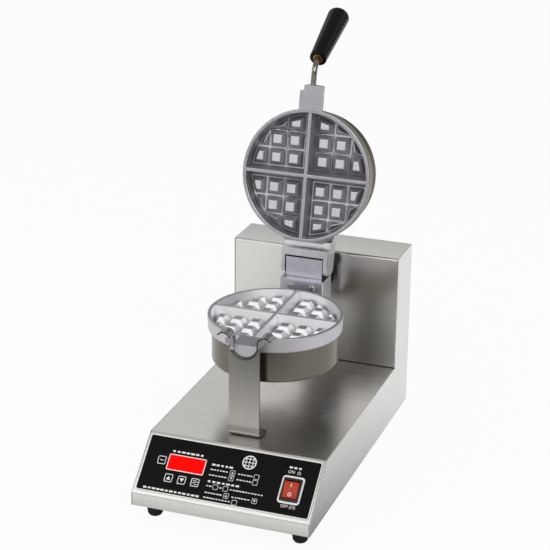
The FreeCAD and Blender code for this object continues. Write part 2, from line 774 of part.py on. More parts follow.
def lower_grid():
    post = box(-LUG_ROOT_OUT, -LUG_IN, -LUG_FRONT, -LUG_BACK, -LUG_DEPTH, LUG_PROUD)
    hook = box(-LUG_OUT, -LUG_ROOT_OUT, -LUG_FRONT, -LUG_BACK, LUG_UNDER, LUG_PROUD)
    root = box(-LUG_ROOT_OUT, -LUG_IN, -LUG_BACK, -LUG_ROOT, -LUG_DEPTH, 0)
    arm_end = BLOCK_FRONT - PLATE_Y
    arm = box(-REAR_ARM_HALF, REAR_ARM_HALF, EAR_ROOT, arm_end, -REAR_ARM_BOTTOM, -REAR_ARM_TOP)
    arm = rounded(arm, CAST_CORNER, lambda edge: edge.BoundBox.YLength > CAST_CORNER)
    grid = joined(waffle_casting(), [half_round_ear(LOWER_EAR_REACH), post, hook, root, arm])
    for side in (-1, 1):
        start = V(side * BLOCK_SCREW_X, arm_end - ARM_HOLE_DEPTH, -ARM_SCREW_DROP)
        grid = grid.cut(screw_hole(M5, ARM_HOLE_DEPTH, start, Y_AXIS))
    return on_lower(grid)


def upper_grid():
    ear = half_round_ear(UPPER_EAR_REACH)
    ear = ear.cut(box(EAR_STEP_X, EAR_R, -UPPER_EAR_REACH, EAR_STEP - UPPER_EAR_REACH, -EAR_R, 0))
    boss = box(-BOSS_HALF, BOSS_HALF, BOSS_ROOT, BOSS_REACH, -BOSS_BOTTOM, -BOSS_TOP)
    boss = rounded(boss, CAST_CORNER, lambda edge: upright_edges(edge) and edge.BoundBox.YMin > CAVITY_R)
    boss = boss.cut(rod(SHELL_R + SHELL_PLAY, BOSS_BOTTOM - CAST_DEPTH, V(0, 0, -BOSS_BOTTOM), Z_AXIS))
    grid = joined(waffle_casting(), [ear, boss])
    rod_hole = V(0, -UPPER_EAR_REACH, -ROD_DEPTH)
    grid = grid.cut(rod(ROD_R + GRIP_PLAY, UPPER_EAR_REACH - ROD_ROOT, rod_hole, Y_AXIS))
    height = LID_Z - PIN_Z - YOKE_BOLT_BACK
    for side in (-1, 1):
        start = V(side * YOKE_BOLT_X, BOSS_REACH - YOKE_HOLE_DEPTH, height)
        grid = grid.cut(screw_hole(M6, YOKE_HOLE_DEPTH, start, Y_AXIS))
    return on_lid(grid)


def pan_blank(radius, height, bottom, edge_round):
    """Short cylinder standing on the given height, rounded round its bottom edge."""
    blank = rod(radius, height, V(0, 0, bottom), Z_AXIS)
    return rounded(blank, edge_round, lambda edge: abs(edge.BoundBox.ZMax - bottom) < NEAR)


def shell(depth):
    height = depth - CAST_DEPTH
    outside = pan_blank(SHELL_R, height, -depth, SHELL_EDGE)
    inside = pan_blank(SHELL_R - SHELL_WALL, height, SHELL_WALL - depth, SHELL_EDGE - SHELL_WALL)
    hole = rod(SHELL_BOLT_R + SEAT_GAP, 3 * SHELL_WALL, V(0, 0, -depth - SHELL_WALL), Z_AXIS)
    return outside.cut(inside).cut(hole)


def element_end(angle, height):
    turn = math.radians(angle)
    return V(ELEMENT_RING_R * math.cos(turn), ELEMENT_RING_R * math.sin(turn), height)


def element():
    ring = Part.makeTorus(ELEMENT_RING_R, ELEMENT_R, V(0, 0, -CAST_DEPTH), Z_AXIS, -180, 180, ELEMENT_SWEEP)
    bottom = -CAST_DEPTH - TERMINAL_LENGTH
    ends = [rod(TERMINAL_R, TERMINAL_LENGTH, element_end(a, bottom), Z_AXIS) for a in (0, ELEMENT_SWEEP)]
    return joined(ring, ends)


def element_clamp():
    bottom = -CAST_DEPTH - ELEMENT_R - SEAT_GAP - CLAMP_THICK
    plate = tube(CLAMP_R, CLAMP_HOLE_R, CLAMP_THICK, V(0, 0, bottom), Z_AXIS)
    for angle in (0, ELEMENT_SWEEP):
        plate = plate.cut(rod(TERMINAL_R + TERMINAL_PLAY, CLAMP_THICK, element_end(angle, bottom), Z_AXIS))
    return plate


def insulation(depth):
    top = -CAST_DEPTH - TERMINAL_LENGTH - INSULATION_GAP
    bottom = SHELL_WALL - depth
    bore = SHELL_BOLT_R + INSULATION_HOLE
    return tube(SHELL_R - SHELL_EDGE, bore, top - bottom, V(0, 0, bottom), Z_AXIS)


def sensor():
    place = V(-SENSOR_LENGTH / 2, SENSOR_OFFSET, -CAST_DEPTH - SENSOR_R - SEAT_GAP)
    return rod(SENSOR_R, SENSOR_LENGTH, place, X_AXIS)


def shell_bolt(depth):
    under = -depth - SHELL_WASHER
    nut_bottom = under - SHELL_NUT_HEIGHT
    corners = []
    for step in range(6):
        turn = math.radians(60 * step)
        corners.append(V(SHELL_NUT_R * math.cos(turn), SHELL_NUT_R * math.sin(turn), nut_bottom))
    nut = face_of(corners).extrude(V(0, 0, SHELL_NUT_HEIGHT))
    washer = rod(SHELL_WASHER_R, SHELL_WASHER, V(0, 0, under), Z_AXIS)
    length = SHELL_BOLT_INTO_CAST - CAST_DEPTH - nut_bottom
    return joined(nut, [washer, rod(SHELL_BOLT_R, length, V(0, 0, nut_bottom), Z_AXIS)])


# Front bracket and cradle
def front_bracket():
    half = BRACKET_WIDTH / 2
    front = BRACKET_FRONT
    back = front + BRACKET_THICK
    heel = front + BRACKET_FOOT
    top = PLATE_Z - BRACKET_TOP_DROP
    foot_top = BASE_TOP + BRACKET_THICK
    outline = [(front, BASE_TOP), (front, top), (back, top), (back, foot_top), (heel, foot_top),
               (heel, BASE_TOP)]
    folded = prism_x(outline, -half, half)
    folded = rounded(folded, BRACKET_THICK, along_x_at(front, BASE_TOP))
    folded = rounded(folded, BRACKET_INNER_BEND, along_x_at(back, foot_top))
    notch_r = CLIP_INNER_R + CLIP_THICK
    folded = folded.cut(rod(notch_r, 3 * BRACKET_THICK, V(0, front - BRACKET_THICK, PLATE_Z), Y_AXIS))
    for side in (-1, 1):
        start = V(side * BRACKET_SCREW_X, BRACKET_SCREW_Y, BASE_TOP)
        folded = folded.cut(screw_hole(M5, BRACKET_THICK, start, Z_AXIS))
    return folded


def bracket_screw(side):
    seat = V(side * BRACKET_SCREW_X, BRACKET_SCREW_Y, BASE_TOP + BRACKET_THICK)
    return pan_screw(M5, BRACKET_SCREW_LENGTH, seat, Z_AXIS)


def clip_outline(sign, offset):
    """One side of the band: from the bottom of the cradle up a leg and over the open curl."""
    radius = CLIP_INNER_R + offset
    leg_top = PLATE_Z + CLIP_LEG_TOP
    centre_x = CLIP_INNER_R + CLIP_THICK + CURL_R
    curl = CURL_R + CLIP_THICK - offset
    diagonal = radius / math.sqrt(2)
    turn = math.radians(CURL_END)
    places = [(0, PLATE_Z - radius), (diagonal, PLATE_Z - diagonal), (radius, PLATE_Z), (radius, leg_top),
              (centre_x, leg_top + curl), (centre_x + curl * math.cos(turn), leg_top + curl * math.sin(turn))]
    bottom, bowl, side, leg, crest, tip = [V(sign * x, CLIP_FRONT, z) for x, z in places]
    edges = [Part.Arc(bottom, bowl, side).toShape(), Part.makeLine(side, leg),
             Part.Arc(leg, crest, tip).toShape()]
    return edges, tip


def cradle_clip():
    edges = []
    for sign in (-1, 1):
        inner, inner_end = clip_outline(sign, 0)
        outer, outer_end = clip_outline(sign, CLIP_THICK)
        edges += inner + outer + [Part.makeLine(inner_end, outer_end)]
    outline = Part.Wire(Part.__sortEdges__(edges))
    return Part.Face(outline).extrude(V(0, CLIP_WIDTH, 0))


# Rear hinge
def lid_point(out, back):
    """(y, z) on the closed lid: out from the pin towards the plates, and back from the grid's side."""
    return (PIN_Y - out, PIN_Z + back)


def hinge_block():
    low = PIN_Z - BLOCK_TOP_DROP
    block = box(-BLOCK_HALF, BLOCK_HALF, BLOCK_FRONT, BLOCK_BACK, PIN_Z - BLOCK_BOTTOM_DROP, low)
    block = rounded(block, BLOCK_CORNER, upright_edges)
    tongue_back = BLOCK_BACK - TONGUE_INSET
    tongue_front = PIN_Y - TONGUE_FRONT
    crown = PIN_Z + TONGUE_CROWN
    tongue = prism_x([(tongue_front, low), (tongue_front, PIN_Z + TONGUE_RISE),
                      (PIN_Y - TONGUE_CROWN_FRONT, crown), (PIN_Y + TONGUE_CROWN_BACK, crown),
                      (tongue_back, PIN_Z), (tongue_back, low)], -TONGUE_HALF, TONGUE_HALF)
    reach = WEB_INNER - STOP_GAP
    stop = prism_x([lid_point(-SHOULDER_BACK, SHOULDER_FROM), lid_point(reach, SHOULDER_FROM),
                    lid_point(reach, SHOULDER_TO), lid_point(-SHOULDER_BACK, SHOULDER_TO)],
                   -TONGUE_HALF, TONGUE_HALF)
    shape = joined(block, [tongue, opened(stop)])
    shape = shape.cut(rod(PIN_PRESS_R, 2 * YOKE_HALF, V(-YOKE_HALF, PIN_Y, PIN_Z), X_AXIS))
    depth = BLOCK_BACK - BLOCK_FRONT
    shape = shape.cut(rod(SHAFT_BORE_R, depth / 2, V(0, BLOCK_BACK - depth / 2, PLATE_Z), Y_AXIS))
    for side in (-1, 1):
        for drop in (BLOCK_SCREW_DROP, ARM_SCREW_DROP):
            start = V(side * BLOCK_SCREW_X, BLOCK_FRONT, PLATE_Z - drop)
            shape = shape.cut(screw_hole(M5, depth, start, Y_AXIS))
    return shape


def hinge_block_screws():
    depth = BLOCK_BACK - BLOCK_FRONT
    screws = []
    for side in (-1, 1):
        x = side * BLOCK_SCREW_X
        front_seat = V(x, BLOCK_FRONT, PLATE_Z - BLOCK_SCREW_DROP)
        back_seat = V(x, BLOCK_BACK, PLATE_Z - ARM_SCREW_DROP)
        screws.append(pan_screw(M5, depth + SHAFT_FLANGE, front_seat, -Y_AXIS))
        screws.append(pan_screw(M5, depth + ARM_SCREW_INTO, back_seat, Y_AXIS))
    return screws


def hinge_pin():
    half = YOKE_HALF - PIN_INSET
    return rod(PIN_R, 2 * half, V(-half, PIN_Y, PIN_Z), X_AXIS)


def hinge_yoke():
    chin = lid_point(-LEG_TAIL, YOKE_CHIN)
    heel = lid_point(-LEG_TAIL, YOKE_HEEL)
    outline = [lid_point(WEB_OUTER, YOKE_NOSE), chin, heel, lid_point(YOKE_HEEL_OUT, YOKE_BACK),
               lid_point(ARM_END, YOKE_BACK), lid_point(ARM_END, ARM_FRONT), lid_point(WEB_OUTER, ARM_FRONT)]
    yoke = prism_x(outline, -YOKE_HALF, YOKE_HALF)
    yoke = rounded(yoke, YOKE_CHIN_ROUND, along_x_at(*chin))
    yoke = rounded(yoke, YOKE_HEEL_ROUND, along_x_at(*heel))
    slot_end = PIN_Y - WEB_INNER
    room = 2 * YOKE_HALF
    apron_top = PIN_Z + APRON_BACK
    apron_end = PIN_Y - APRON_EDGE
    slot = box(-YOKE_SLOT_HALF, YOKE_SLOT_HALF, slot_end, slot_end + room, apron_top, PIN_Z + room)
    under = box(-YOKE_SLOT_HALF, YOKE_SLOT_HALF, apron_end, slot_end + room, PIN_Z - room, apron_top)
    yoke = yoke.cut(slot.fuse(under))
    yoke = yoke.cut(rod(PIN_HOLE_R, 2 * YOKE_HALF, V(-YOKE_HALF, PIN_Y, PIN_Z), X_AXIS))
    for side in (-1, 1):
        place = V(side * YOKE_BOLT_X, slot_end, PIN_Z + YOKE_BOLT_BACK)
        yoke = yoke.cut(rod(YOKE_BOLT_HEAD_R + PANEL_PLAY, YOKE_BOLT_SEAT, place, -Y_AXIS))
        yoke = yoke.cut(screw_hole(M6, YOKE_BOLT_LENGTH, place, -Y_AXIS))
    return opened(yoke)


def yoke_bolt(side):
    seat = V(side * YOKE_BOLT_X, PIN_Y - WEB_INNER - YOKE_BOLT_SEAT, PIN_Z + YOKE_BOLT_BACK)
    head = rod(YOKE_BOLT_HEAD_R, YOKE_BOLT_HEAD, seat, Y_AXIS)
    return opened(joined(head, [rod(M6 / 2, YOKE_BOLT_LENGTH, seat, -Y_AXIS)]))


def pivot_shaft():
    half = SHAFT_FLANGE_HALF
    low = PLATE_Z - SHAFT_FLANGE_DROP
    high = PLATE_Z + SHAFT_FLANGE_RISE
    flange = box(-half, half, BLOCK_BACK, BLOCK_BACK + SHAFT_FLANGE, low, high)
    root = V(0, BLOCK_BACK, PLATE_Z)
    length = SHAFT_END - BLOCK_BACK
    shape = joined(flange, [rod(SHAFT_R, length, root, Y_AXIS)]).cut(rod(SHAFT_BORE_R, length, root, Y_AXIS))
    for side in (-1, 1):
        start = V(side * BLOCK_SCREW_X, BLOCK_BACK, PLATE_Z - BLOCK_SCREW_DROP)
        shape = shape.cut(screw_hole(M5, SHAFT_FLANGE, start, Y_AXIS))
    return shape


def shaft_collar():
    return tube(COLLAR_R, SHAFT_R, COLLAR_WIDTH, V(0, BEARING_END + COLLAR_GAP, PLATE_Z), Y_AXIS)


def bearing_places():
    for step in range(4):
        turn = math.radians(45 + 90 * step)
        yield BEARING_SCREW_R * math.cos(turn), PLATE_Z + BEARING_SCREW_R * math.sin(turn)


def pivot_bearing():
    start = TOWER_FRONT - BEARING_FLANGE
    root = V(0, start, PLATE_Z)
    length = BEARING_END - start
    flange = rod(BEARING_FLANGE_R, BEARING_FLANGE, root, Y_AXIS)
    shape = joined(flange, [rod(BEARING_R, length, root, Y_AXIS)])
    shape = shape.cut(rod(SHAFT_R + BEARING_GAP, length, root, Y_AXIS))
    for x, z in bearing_places():
        shape = shape.cut(screw_hole(M4, BEARING_FLANGE, V(x, start, z), Y_AXIS))
    return shape


def bearing_screws():
    seat_y = TOWER_FRONT - BEARING_FLANGE
    return [pan_screw(M4, BEARING_SCREW_LENGTH, V(x, seat_y, z), -Y_AXIS) for x, z in bearing_places()]


def tower_brace():
    start = TOWER_FRONT + SHEET
    end = start + BRACE_THICK
    brace = box(-BRACE_HALF, BRACE_HALF, start, end, PLATE_Z - BRACE_DROP, PLATE_Z + BRACE_RISE)
    brace = brace.cut(rod(BEARING_R + BRACE_PLAY, BRACE_THICK, V(0, start, PLATE_Z), Y_AXIS))
    for x, z in bearing_places():
        brace = brace.cut(screw_hole(M4, BRACE_THICK, V(x, start, z), Y_AXIS))
    return brace


# Handle, drawn on the closed lid
BEND_TURN = math.radians(ROD_BEND)
ROD_Z = LID_Z + ROD_DEPTH
BEND_START = V(0, PLATE_Y - ROD_STRAIGHT, ROD_Z)
BEND_END = BEND_START + V(0, -ROD_BEND_R * math.sin(BEND_TURN), ROD_BEND_R * (1 - math.cos(BEND_TURN)))
GRIP_AXIS = V(0, -math.cos(BEND_TURN), math.sin(BEND_TURN))


def handle_rod():
    start = V(0, PLATE_Y - ROD_ROOT, ROD_Z)
    half_turn = BEND_TURN / 2
    middle = BEND_START + V(0, -ROD_BEND_R * math.sin(half_turn), ROD_BEND_R * (1 - math.cos(half_turn)))
    path = Part.Wire([Part.makeLine(start, BEND_START), Part.Arc(BEND_START, middle, BEND_END).toShape(),
                      Part.makeLine(BEND_END, BEND_END + GRIP_AXIS * ROD_IN_GRIP)])
    section = Part.Wire([Part.makeCircle(ROD_R, start, Y_AXIS)])
    return opened(path.makePipeShell([section], True, False))


def along_grip(shape):
    """Moves a shape drawn up the Z axis onto the bent end of the rod."""
    placed = shape.copy()
    placed.rotate(V(0, 0, 0), X_AXIS, 90 - ROD_BEND)
    placed.translate(BEND_END)
    return opened(placed)


def handle_grip():
    blank = Part.makeCone(GRIP_START_R, GRIP_END_R, GRIP_LENGTH)
    blank = rounded(blank, GRIP_EDGE, lambda edge: edge.BoundBox.ZMin > GRIP_LENGTH - NEAR)
    blank = rounded(blank, GRIP_MOUTH_EDGE, lambda edge: edge.BoundBox.ZMax < NEAR)
    mouth = V(0, 0, 0)
    blank = blank.cut(rod(FERRULE_R + GRIP_PLAY, FERRULE_LENGTH, mouth, Z_AXIS))
    return along_grip(blank.cut(rod(ROD_R + GRIP_PLAY, ROD_IN_GRIP + GRIP_HOLE_SPARE, mouth, Z_AXIS)))


def handle_ferrule():
    ring = tube(FERRULE_R, ROD_R + GRIP_PLAY, FERRULE_LENGTH + FERRULE_PROUD, V(0, 0, -FERRULE_PROUD), Z_AXIS)
    return along_grip(ring)


# Every piece under its name; a list is a group of like solids
pieces = {
    "base_wrap": base_wrap(),
    "side_panel_left": side_panel(-1),
    "side_panel_right": side_panel(1),
    "tower_front_panel": tower_front_panel(),
    "rear_cover": rear_cover(),
    "bottom_plate": bottom_plate(),
    "feet": [foot(x, y) for x, y in FOOT_PLACES],
    "foot_screws": [foot_screw(x, y) for x, y in FOOT_PLACES],
    "cover_screws": [cover_screw(x, z) for x, z in COVER_SCREWS],
    "cord_gland": cord_gland(),
    "control_overlay": control_overlay(),
    "display_window": display_window(),
    "switch_bezel": switch_bezel(),
    "power_rocker": power_rocker(),
    "control_board": control_board(),
    "board_spacers": board_spacers(),
    "display_module": display_module(),
    "transformer": transformer(),
    "power_relay": power_relay(),
    "terminal_block": terminal_block(),
    "front_bracket": front_bracket(),
    "bracket_screws": [bracket_screw(side) for side in (-1, 1)],
    "cradle_clip": cradle_clip(),
    "pivot_bearing": pivot_bearing(),
    "bearing_screws": bearing_screws(),
    "tower_brace": tower_brace(),
    "lower_grid": lower_grid(),
    "hinge_block": hinge_block(),
    "hinge_block_screws": hinge_block_screws(),
    "hinge_pin": hinge_pin(),
    "pivot_shaft": pivot_shaft(),
    "shaft_collar": shaft_collar(),
    "upper_grid": upper_grid(),
    "hinge_yoke": hinge_yoke(),
    "yoke_bolts": [yoke_bolt(side) for side in (-1, 1)],
    "handle_rod": handle_rod(),
    "handle_ferrule": handle_ferrule(),
    "handle_grip": handle_grip(),
}
for name, (x, s) in KEYS.items():
    pieces[name] = key(x, s)
for prefix, place, depth in (("lower", on_lower, LOWER_SHELL_DEPTH), ("upper", on_lid, UPPER_SHELL_DEPTH)):
    pieces[prefix + "_shell"] = place(shell(depth))
    pieces[prefix + "_element"] = place(element())
    pieces[prefix + "_element_clamp"] = place(element_clamp())
    pieces[prefix + "_insulation"] = place(insulation(depth))
    pieces[prefix + "_sensor"] = place(sensor())
    pieces[prefix + "_shell_bolt"] = place(shell_bolt(depth))

# The origin goes under the middle of the open baker, from the front lip to the end of the grip
MIDDLE_Y = pieces["handle_grip"].optimalBoundingBox().YMax / 2
to_origin = V(0, -MIDDLE_Y, 0)
os.makedirs("parts", exist_ok=True)
for name, shape in pieces.items():
    if isinstance(shape, list):
        shape = Part.makeCompound(shape)
    shape.translated(to_origin).exportStep("parts/" + name + ".step")

print("middle y", MIDDLE_Y)
print("pin y z", PIN_Y - MIDDLE_Y, PIN_Z)
print("turning axis z", PLATE_Z)
print("slope angle", SLOPE_ANGLE)
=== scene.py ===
import json
import math

import bmesh
import bpy
from mathutils import Matrix, Vector
from mathutils.bvhtree import BVHTree


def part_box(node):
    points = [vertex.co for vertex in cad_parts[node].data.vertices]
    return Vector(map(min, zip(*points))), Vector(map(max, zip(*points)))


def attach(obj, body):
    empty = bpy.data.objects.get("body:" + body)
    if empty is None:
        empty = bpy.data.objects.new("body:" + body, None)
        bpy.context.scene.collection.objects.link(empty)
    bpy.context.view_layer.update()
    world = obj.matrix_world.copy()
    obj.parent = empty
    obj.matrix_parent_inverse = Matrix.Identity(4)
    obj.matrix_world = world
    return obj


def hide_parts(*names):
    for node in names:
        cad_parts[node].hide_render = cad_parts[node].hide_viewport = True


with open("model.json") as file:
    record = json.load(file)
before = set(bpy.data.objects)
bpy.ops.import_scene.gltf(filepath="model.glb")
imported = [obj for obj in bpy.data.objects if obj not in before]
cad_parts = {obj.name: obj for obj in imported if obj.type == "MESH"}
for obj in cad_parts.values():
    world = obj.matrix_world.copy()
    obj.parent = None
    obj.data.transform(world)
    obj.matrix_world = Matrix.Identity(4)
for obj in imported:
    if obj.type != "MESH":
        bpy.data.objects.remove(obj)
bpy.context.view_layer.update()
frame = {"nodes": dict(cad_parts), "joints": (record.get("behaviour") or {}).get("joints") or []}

bpy.context.scene.view_settings.view_transform = "Standard"

# Base and tower sheets
# The stand is folded from 1.5 mm stainless sheet: one wrap up the lip, the control slope and the top, two
# flat side panels, and the tower's front and roof in one bend. The sheet has a brushed face, so fine lines
# run across the wrap and along the sides. The cut edges are deburred, and the panels are welded inside.
MM = 0.001
SHEET_EDGE = 0.5 * MM
CREASE = math.radians(28)
FLAT = math.radians(0.5)
WELD = 0.002 * MM
STRAY = 0.4
GRAIN_LENGTH = 90 * MM
# Real brush lines are about 0.1 mm apart, too fine to show here, so they are drawn seven times as wide.
GRAIN_WIDTH = 0.7 * MM
GRAIN_BAND = (0.3, 0.7)
ALONG_GRAIN = 0.5
CLOUD = 60 * MM
CLOUD_BAND = (0.35, 0.65)
SHEAR_BAND = (0.55, 0.8)
SHEARED = "#45433F"
JOINT_GRIME = 1.6 * MM
GRIME = "#35332F"
FROM = ("From Min", "From Max")
TO = ("To Min", "To Max")
ACROSS = Vector((1, 0, 0))
BACKWARD = Vector((0, 1, 0))
UPWARD = Vector((0, 0, 1))
tower_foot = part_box("tower_front_panel")[0]


def linear(colour):
    """Scene-linear colour of an sRGB hex value."""
    parts = [int(colour[i:i + 2], 16) / 255 for i in (1, 3, 5)]
    return [p / 12.92 if p < 0.04045 else ((p + 0.055) / 1.055) ** 2.4 for p in parts] + [1.0]


def outlet(source):
    """What a link starts from: a node stands for the first of its outputs that is in use."""
    if isinstance(source, bpy.types.Node):
        return next(output for output in source.outputs if output.enabled)
    return source


def add(tree, kind, inputs=None, **settings):
    """Adds a node, sets its properties, and sets its inputs or links them to other nodes or outputs. A pair
    of inputs takes a pair of values."""
    node = tree.nodes.new(kind)
    for name, value in settings.items():
        setattr(node, name, value)
    for names, values in (inputs or {}).items():
        if not isinstance(names, tuple):
            names = (names,)
            values = (values,)
        for name, value in zip(names, values):
            value = outlet(value)
            if isinstance(value, bpy.types.NodeSocket):
                tree.links.new(value, node.inputs[name])
            else:
                node.inputs[name].default_value = value
    return node


def new_finish(name, **sockets):
    """New material with one principled shader: gives the material, its tree, and a function to link it."""
    material = bpy.data.materials.new(name)
    material.use_nodes = True
    tree = material.node_tree
    shader = tree.nodes["Principled BSDF"]
    for socket, value in sockets.items():
        shader.inputs[socket.replace("_", " ")].default_value = value

    def join(socket, source):
        tree.links.new(outlet(source), shader.inputs[socket])
    return material, tree, join


def brushed_stainless(name, dark, light, grain, roughness, spread, sheared=None):
    """Brushed stainless sheet: a clear, streaky mirror that smears reflections across the grain. Edges that
    face along the sheared direction are left as cut, dull and dark. Grime lines the foot of the tower."""
    material, tree, join = new_finish(name, Metallic=1.0, Anisotropic=0.55)
    coordinates = add(tree, "ShaderNodeTexCoord").outputs
    place = coordinates["Object"]
    scale = [1 / GRAIN_LENGTH if abs(part) > ALONG_GRAIN else 1 / GRAIN_WIDTH for part in grain]
    stretched = add(tree, "ShaderNodeMapping", {"Vector": place, "Scale": scale})
    lines = add(tree, "ShaderNodeTexNoise", {"Vector": stretched, "Scale": 1.0, "Detail": 3.0})
    clouds = add(tree, "ShaderNodeTexNoise", {"Vector": place, "Scale": 1 / CLOUD, "Detail": 2.0})
    shade = add(tree, "ShaderNodeMapRange", {"Value": lines, FROM: GRAIN_BAND})
    tint = add(tree, "ShaderNodeMix", {0: shade, 6: linear(dark), 7: linear(light)}, data_type="RGBA")
    if sheared:
        tilt = add(tree, "ShaderNodeVectorMath", {0: coordinates["Normal"], 1: sheared},
                   operation="DOT_PRODUCT")
        edge = add(tree, "ShaderNodeMath", {0: tilt}, operation="ABSOLUTE")
        edge = add(tree, "ShaderNodeMapRange", {"Value": edge, FROM: SHEAR_BAND})
        tint = add(tree, "ShaderNodeMix", {0: edge, 6: tint, 7: linear(SHEARED)}, data_type="RGBA")
    apart = add(tree, "ShaderNodeSeparateXYZ", {"Vector": place}).outputs
    gaps = []
    for axis, line in (("Y", tower_foot.y), ("Z", tower_foot.z)):
        gap = add(tree, "ShaderNodeMath", {0: apart[axis], 1: line}, operation="SUBTRACT")
        gaps.append(add(tree, "ShaderNodeMath", {0: gap}, operation="ABSOLUTE"))
    gap = add(tree, "ShaderNodeMath", {0: gaps[0], 1: gaps[1]}, operation="MAXIMUM")
    grime = add(tree, "ShaderNodeMapRange", {"Value": gap, FROM: (JOINT_GRIME, JOINT_GRIME / 2)})
    tint = add(tree, "ShaderNodeMix", {0: grime, 6: tint, 7: linear(GRIME)}, data_type="RGBA")
    streaks = add(tree, "ShaderNodeMapRange", {"Value": lines, FROM: GRAIN_BAND,
                                               TO: (roughness - spread, roughness + spread)})
    smudge = add(tree, "ShaderNodeMapRange", {"Value": clouds, FROM: CLOUD_BAND, TO: (0.0, spread)})
    total = add(tree, "ShaderNodeMath", {0: streaks, 1: smudge})
    bump = add(tree, "ShaderNodeBump", {"Height": lines, "Strength": 0.02, "Distance": 0.02 * MM})
    normal = add(tree, "ShaderNodeNewGeometry").outputs["Normal"]
    side = add(tree, "ShaderNodeVectorMath", {0: normal, 1: grain}, operation="CROSS_PRODUCT")
    join("Base Color", tint)
    join("Roughness", total)
    join("Normal", bump)
    join("Tangent", side)
    return material


def baked(piece):
    """Turns what a piece's modifiers give into its plain mesh."""
    graph = bpy.context.evaluated_depsgraph_get()
    mesh = bpy.data.meshes.new_from_object(piece.evaluated_get(graph))
    piece.modifiers.clear()
    piece.data = mesh
    return piece


def new_piece(name, mesh):
    piece = bpy.data.objects.new(name, mesh)
    bpy.context.scene.collection.objects.link(piece)
    return piece


def settle(piece, body, slot, material, *nodes):
    """Gives a piece its finish and its body, and says which CAD nodes it stands for."""
    piece.data.materials.clear()
    piece.data.materials.append(material)
    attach(piece, body)
    if nodes:
        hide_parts(*nodes)


def eased(node, radius, segments, moved):
    """Copy of a CAD node with its triangles merged and its sharp edges rounded. A function can move points.
    Rounding may throw up a stray point where edges crowd, and such a point goes back to the surface."""
    piece = new_piece(node + "_made", frame["nodes"][node].data.copy())
    work = bmesh.new()
    work.from_mesh(piece.data)
    bmesh.ops.remove_doubles(work, verts=work.verts, dist=WELD)
    if moved:
        for vert in work.verts:
            vert.co = moved(vert.co)
    bmesh.ops.dissolve_limit(work, angle_limit=FLAT, verts=work.verts, edges=work.edges)
    for face in work.faces:
        face.smooth = True
    surface = BVHTree.FromBMesh(work)
    work.to_mesh(piece.data)
    work.free()
    old_normals = piece.data.attributes.get("custom_normal")
    if old_normals:
        piece.data.attributes.remove(old_normals)
    edge = piece.modifiers.new("edge", "BEVEL")
    edge.width = radius
    edge.segments = segments
    edge.limit_method = "ANGLE"
    edge.angle_limit = CREASE
    edge.use_clamp_overlap = False
    edge.harden_normals = True
    baked(piece)
    for vert in piece.data.vertices:
        spot, normal, _, gap = surface.find_nearest(vert.co)
        if gap > STRAY * radius and (vert.co - spot).dot(normal) > 0:
            vert.co = spot
    return piece


def dress(node, radius, body, slot, material, segments=2, moved=None):
    """An eased copy takes the place of its CAD node."""
    settle(eased(node, radius, segments, moved), body, slot, material, node)


wrap_steel = brushed_stainless("brushed_stainless_wrap", "#D6D4D1", "#E4E2DF", ACROSS, 0.28, 0.013)
tower_steel = brushed_stainless("brushed_stainless_tower", "#D2D0CD", "#DCDAD7", ACROSS, 0.21, 0.015)
side_steel = brushed_stainless("brushed_stainless_side", "#D4D3D0", "#E4E3E1", BACKWARD, 0.24, 0.015)
dress("base_wrap", SHEET_EDGE, "stand", "stainless_sheet", wrap_steel)
dress("tower_front_panel", SHEET_EDGE, "stand", "stainless_sheet", tower_steel)
for panel in ("side_panel_left", "side_panel_right"):
    dress(panel, SHEET_EDGE, "stand", "stainless_sheet", side_steel)

# Rear cover and bottom plate
# Both close the stand and are pressed from the same sheet. The cover has two banks of louvre slots for the
# tower and a hole for the cord gland, and the bottom plate has vents under the power parts.
for sheet in ("rear_cover", "bottom_plate"):
    dress(sheet, SHEET_EDGE, "stand", "stainless_sheet", wrap_steel)

# Screws
# Slotted pan-head machine screws, cold-headed from steel wire and zinc plated, hold the rear cover, the
# feet, the bearing, the bracket and the hinge block. Their slots stop wherever each one was tight.
HEAD_SIDES = 28
HEAD_RINGS = 5
SHANK_SIDES = 16
# The head's height and the slot's sizes are in thread diameters. The crown is how far up a ball, in shares
# of its radius, the dome ends.
HEAD_HEIGHT = 0.6
HEAD_CROWN = 0.72
SLOT_LENGTH = 4.0
SLOT_WIDTH = 0.3
SLOT_DEPTH = 0.3
PLATING = 1.2 * MM
PLATING_GLOSS = 0.08


def solids_of(node):
    """Lowest and highest corner of each separate solid of a CAD node."""
    work = bmesh.new()
    work.from_mesh(frame["nodes"][node].data)
    bmesh.ops.remove_doubles(work, verts=work.verts, dist=WELD)
    waiting = set(work.verts)
    corners = []
    while waiting:
        group = [waiting.pop()]
        for vert in group:
            for edge in vert.link_edges:
                other = edge.other_vert(vert)
                if other in waiting:
                    waiting.remove(other)
                    group.append(other)
        points = list(zip(*[vert.co for vert in group]))
        corners.append((Vector(map(min, points)), Vector(map(max, points))))
    work.free()
    return sorted(corners, key=lambda pair: tuple(pair[0]))


def new_tree(name, **inputs):
    """New Geometry Nodes tree with named inputs, a geometry going in and a geometry coming out."""
    tree = bpy.data.node_groups.new(name, "GeometryNodeTree")
    tree.interface.new_socket("Geometry", in_out="OUTPUT", socket_type="NodeSocketGeometry")
    tree.interface.new_socket("Geometry", in_out="INPUT", socket_type="NodeSocketGeometry")
    for label, kind in inputs.items():
        tree.interface.new_socket(label, in_out="INPUT", socket_type="NodeSocket" + kind)
    return tree, add(tree, "NodeGroupInput").outputs


def end_tree(tree, geometry, material):
    """Closes a tree: instances become a mesh, which takes its finish."""
    real = add(tree, "GeometryNodeRealizeInstances", {"Geometry": geometry})
    done = add(tree, "GeometryNodeSetMaterial", {"Geometry": real, "Material": material})
    add(tree, "NodeGroupOutput", {"Geometry": done})


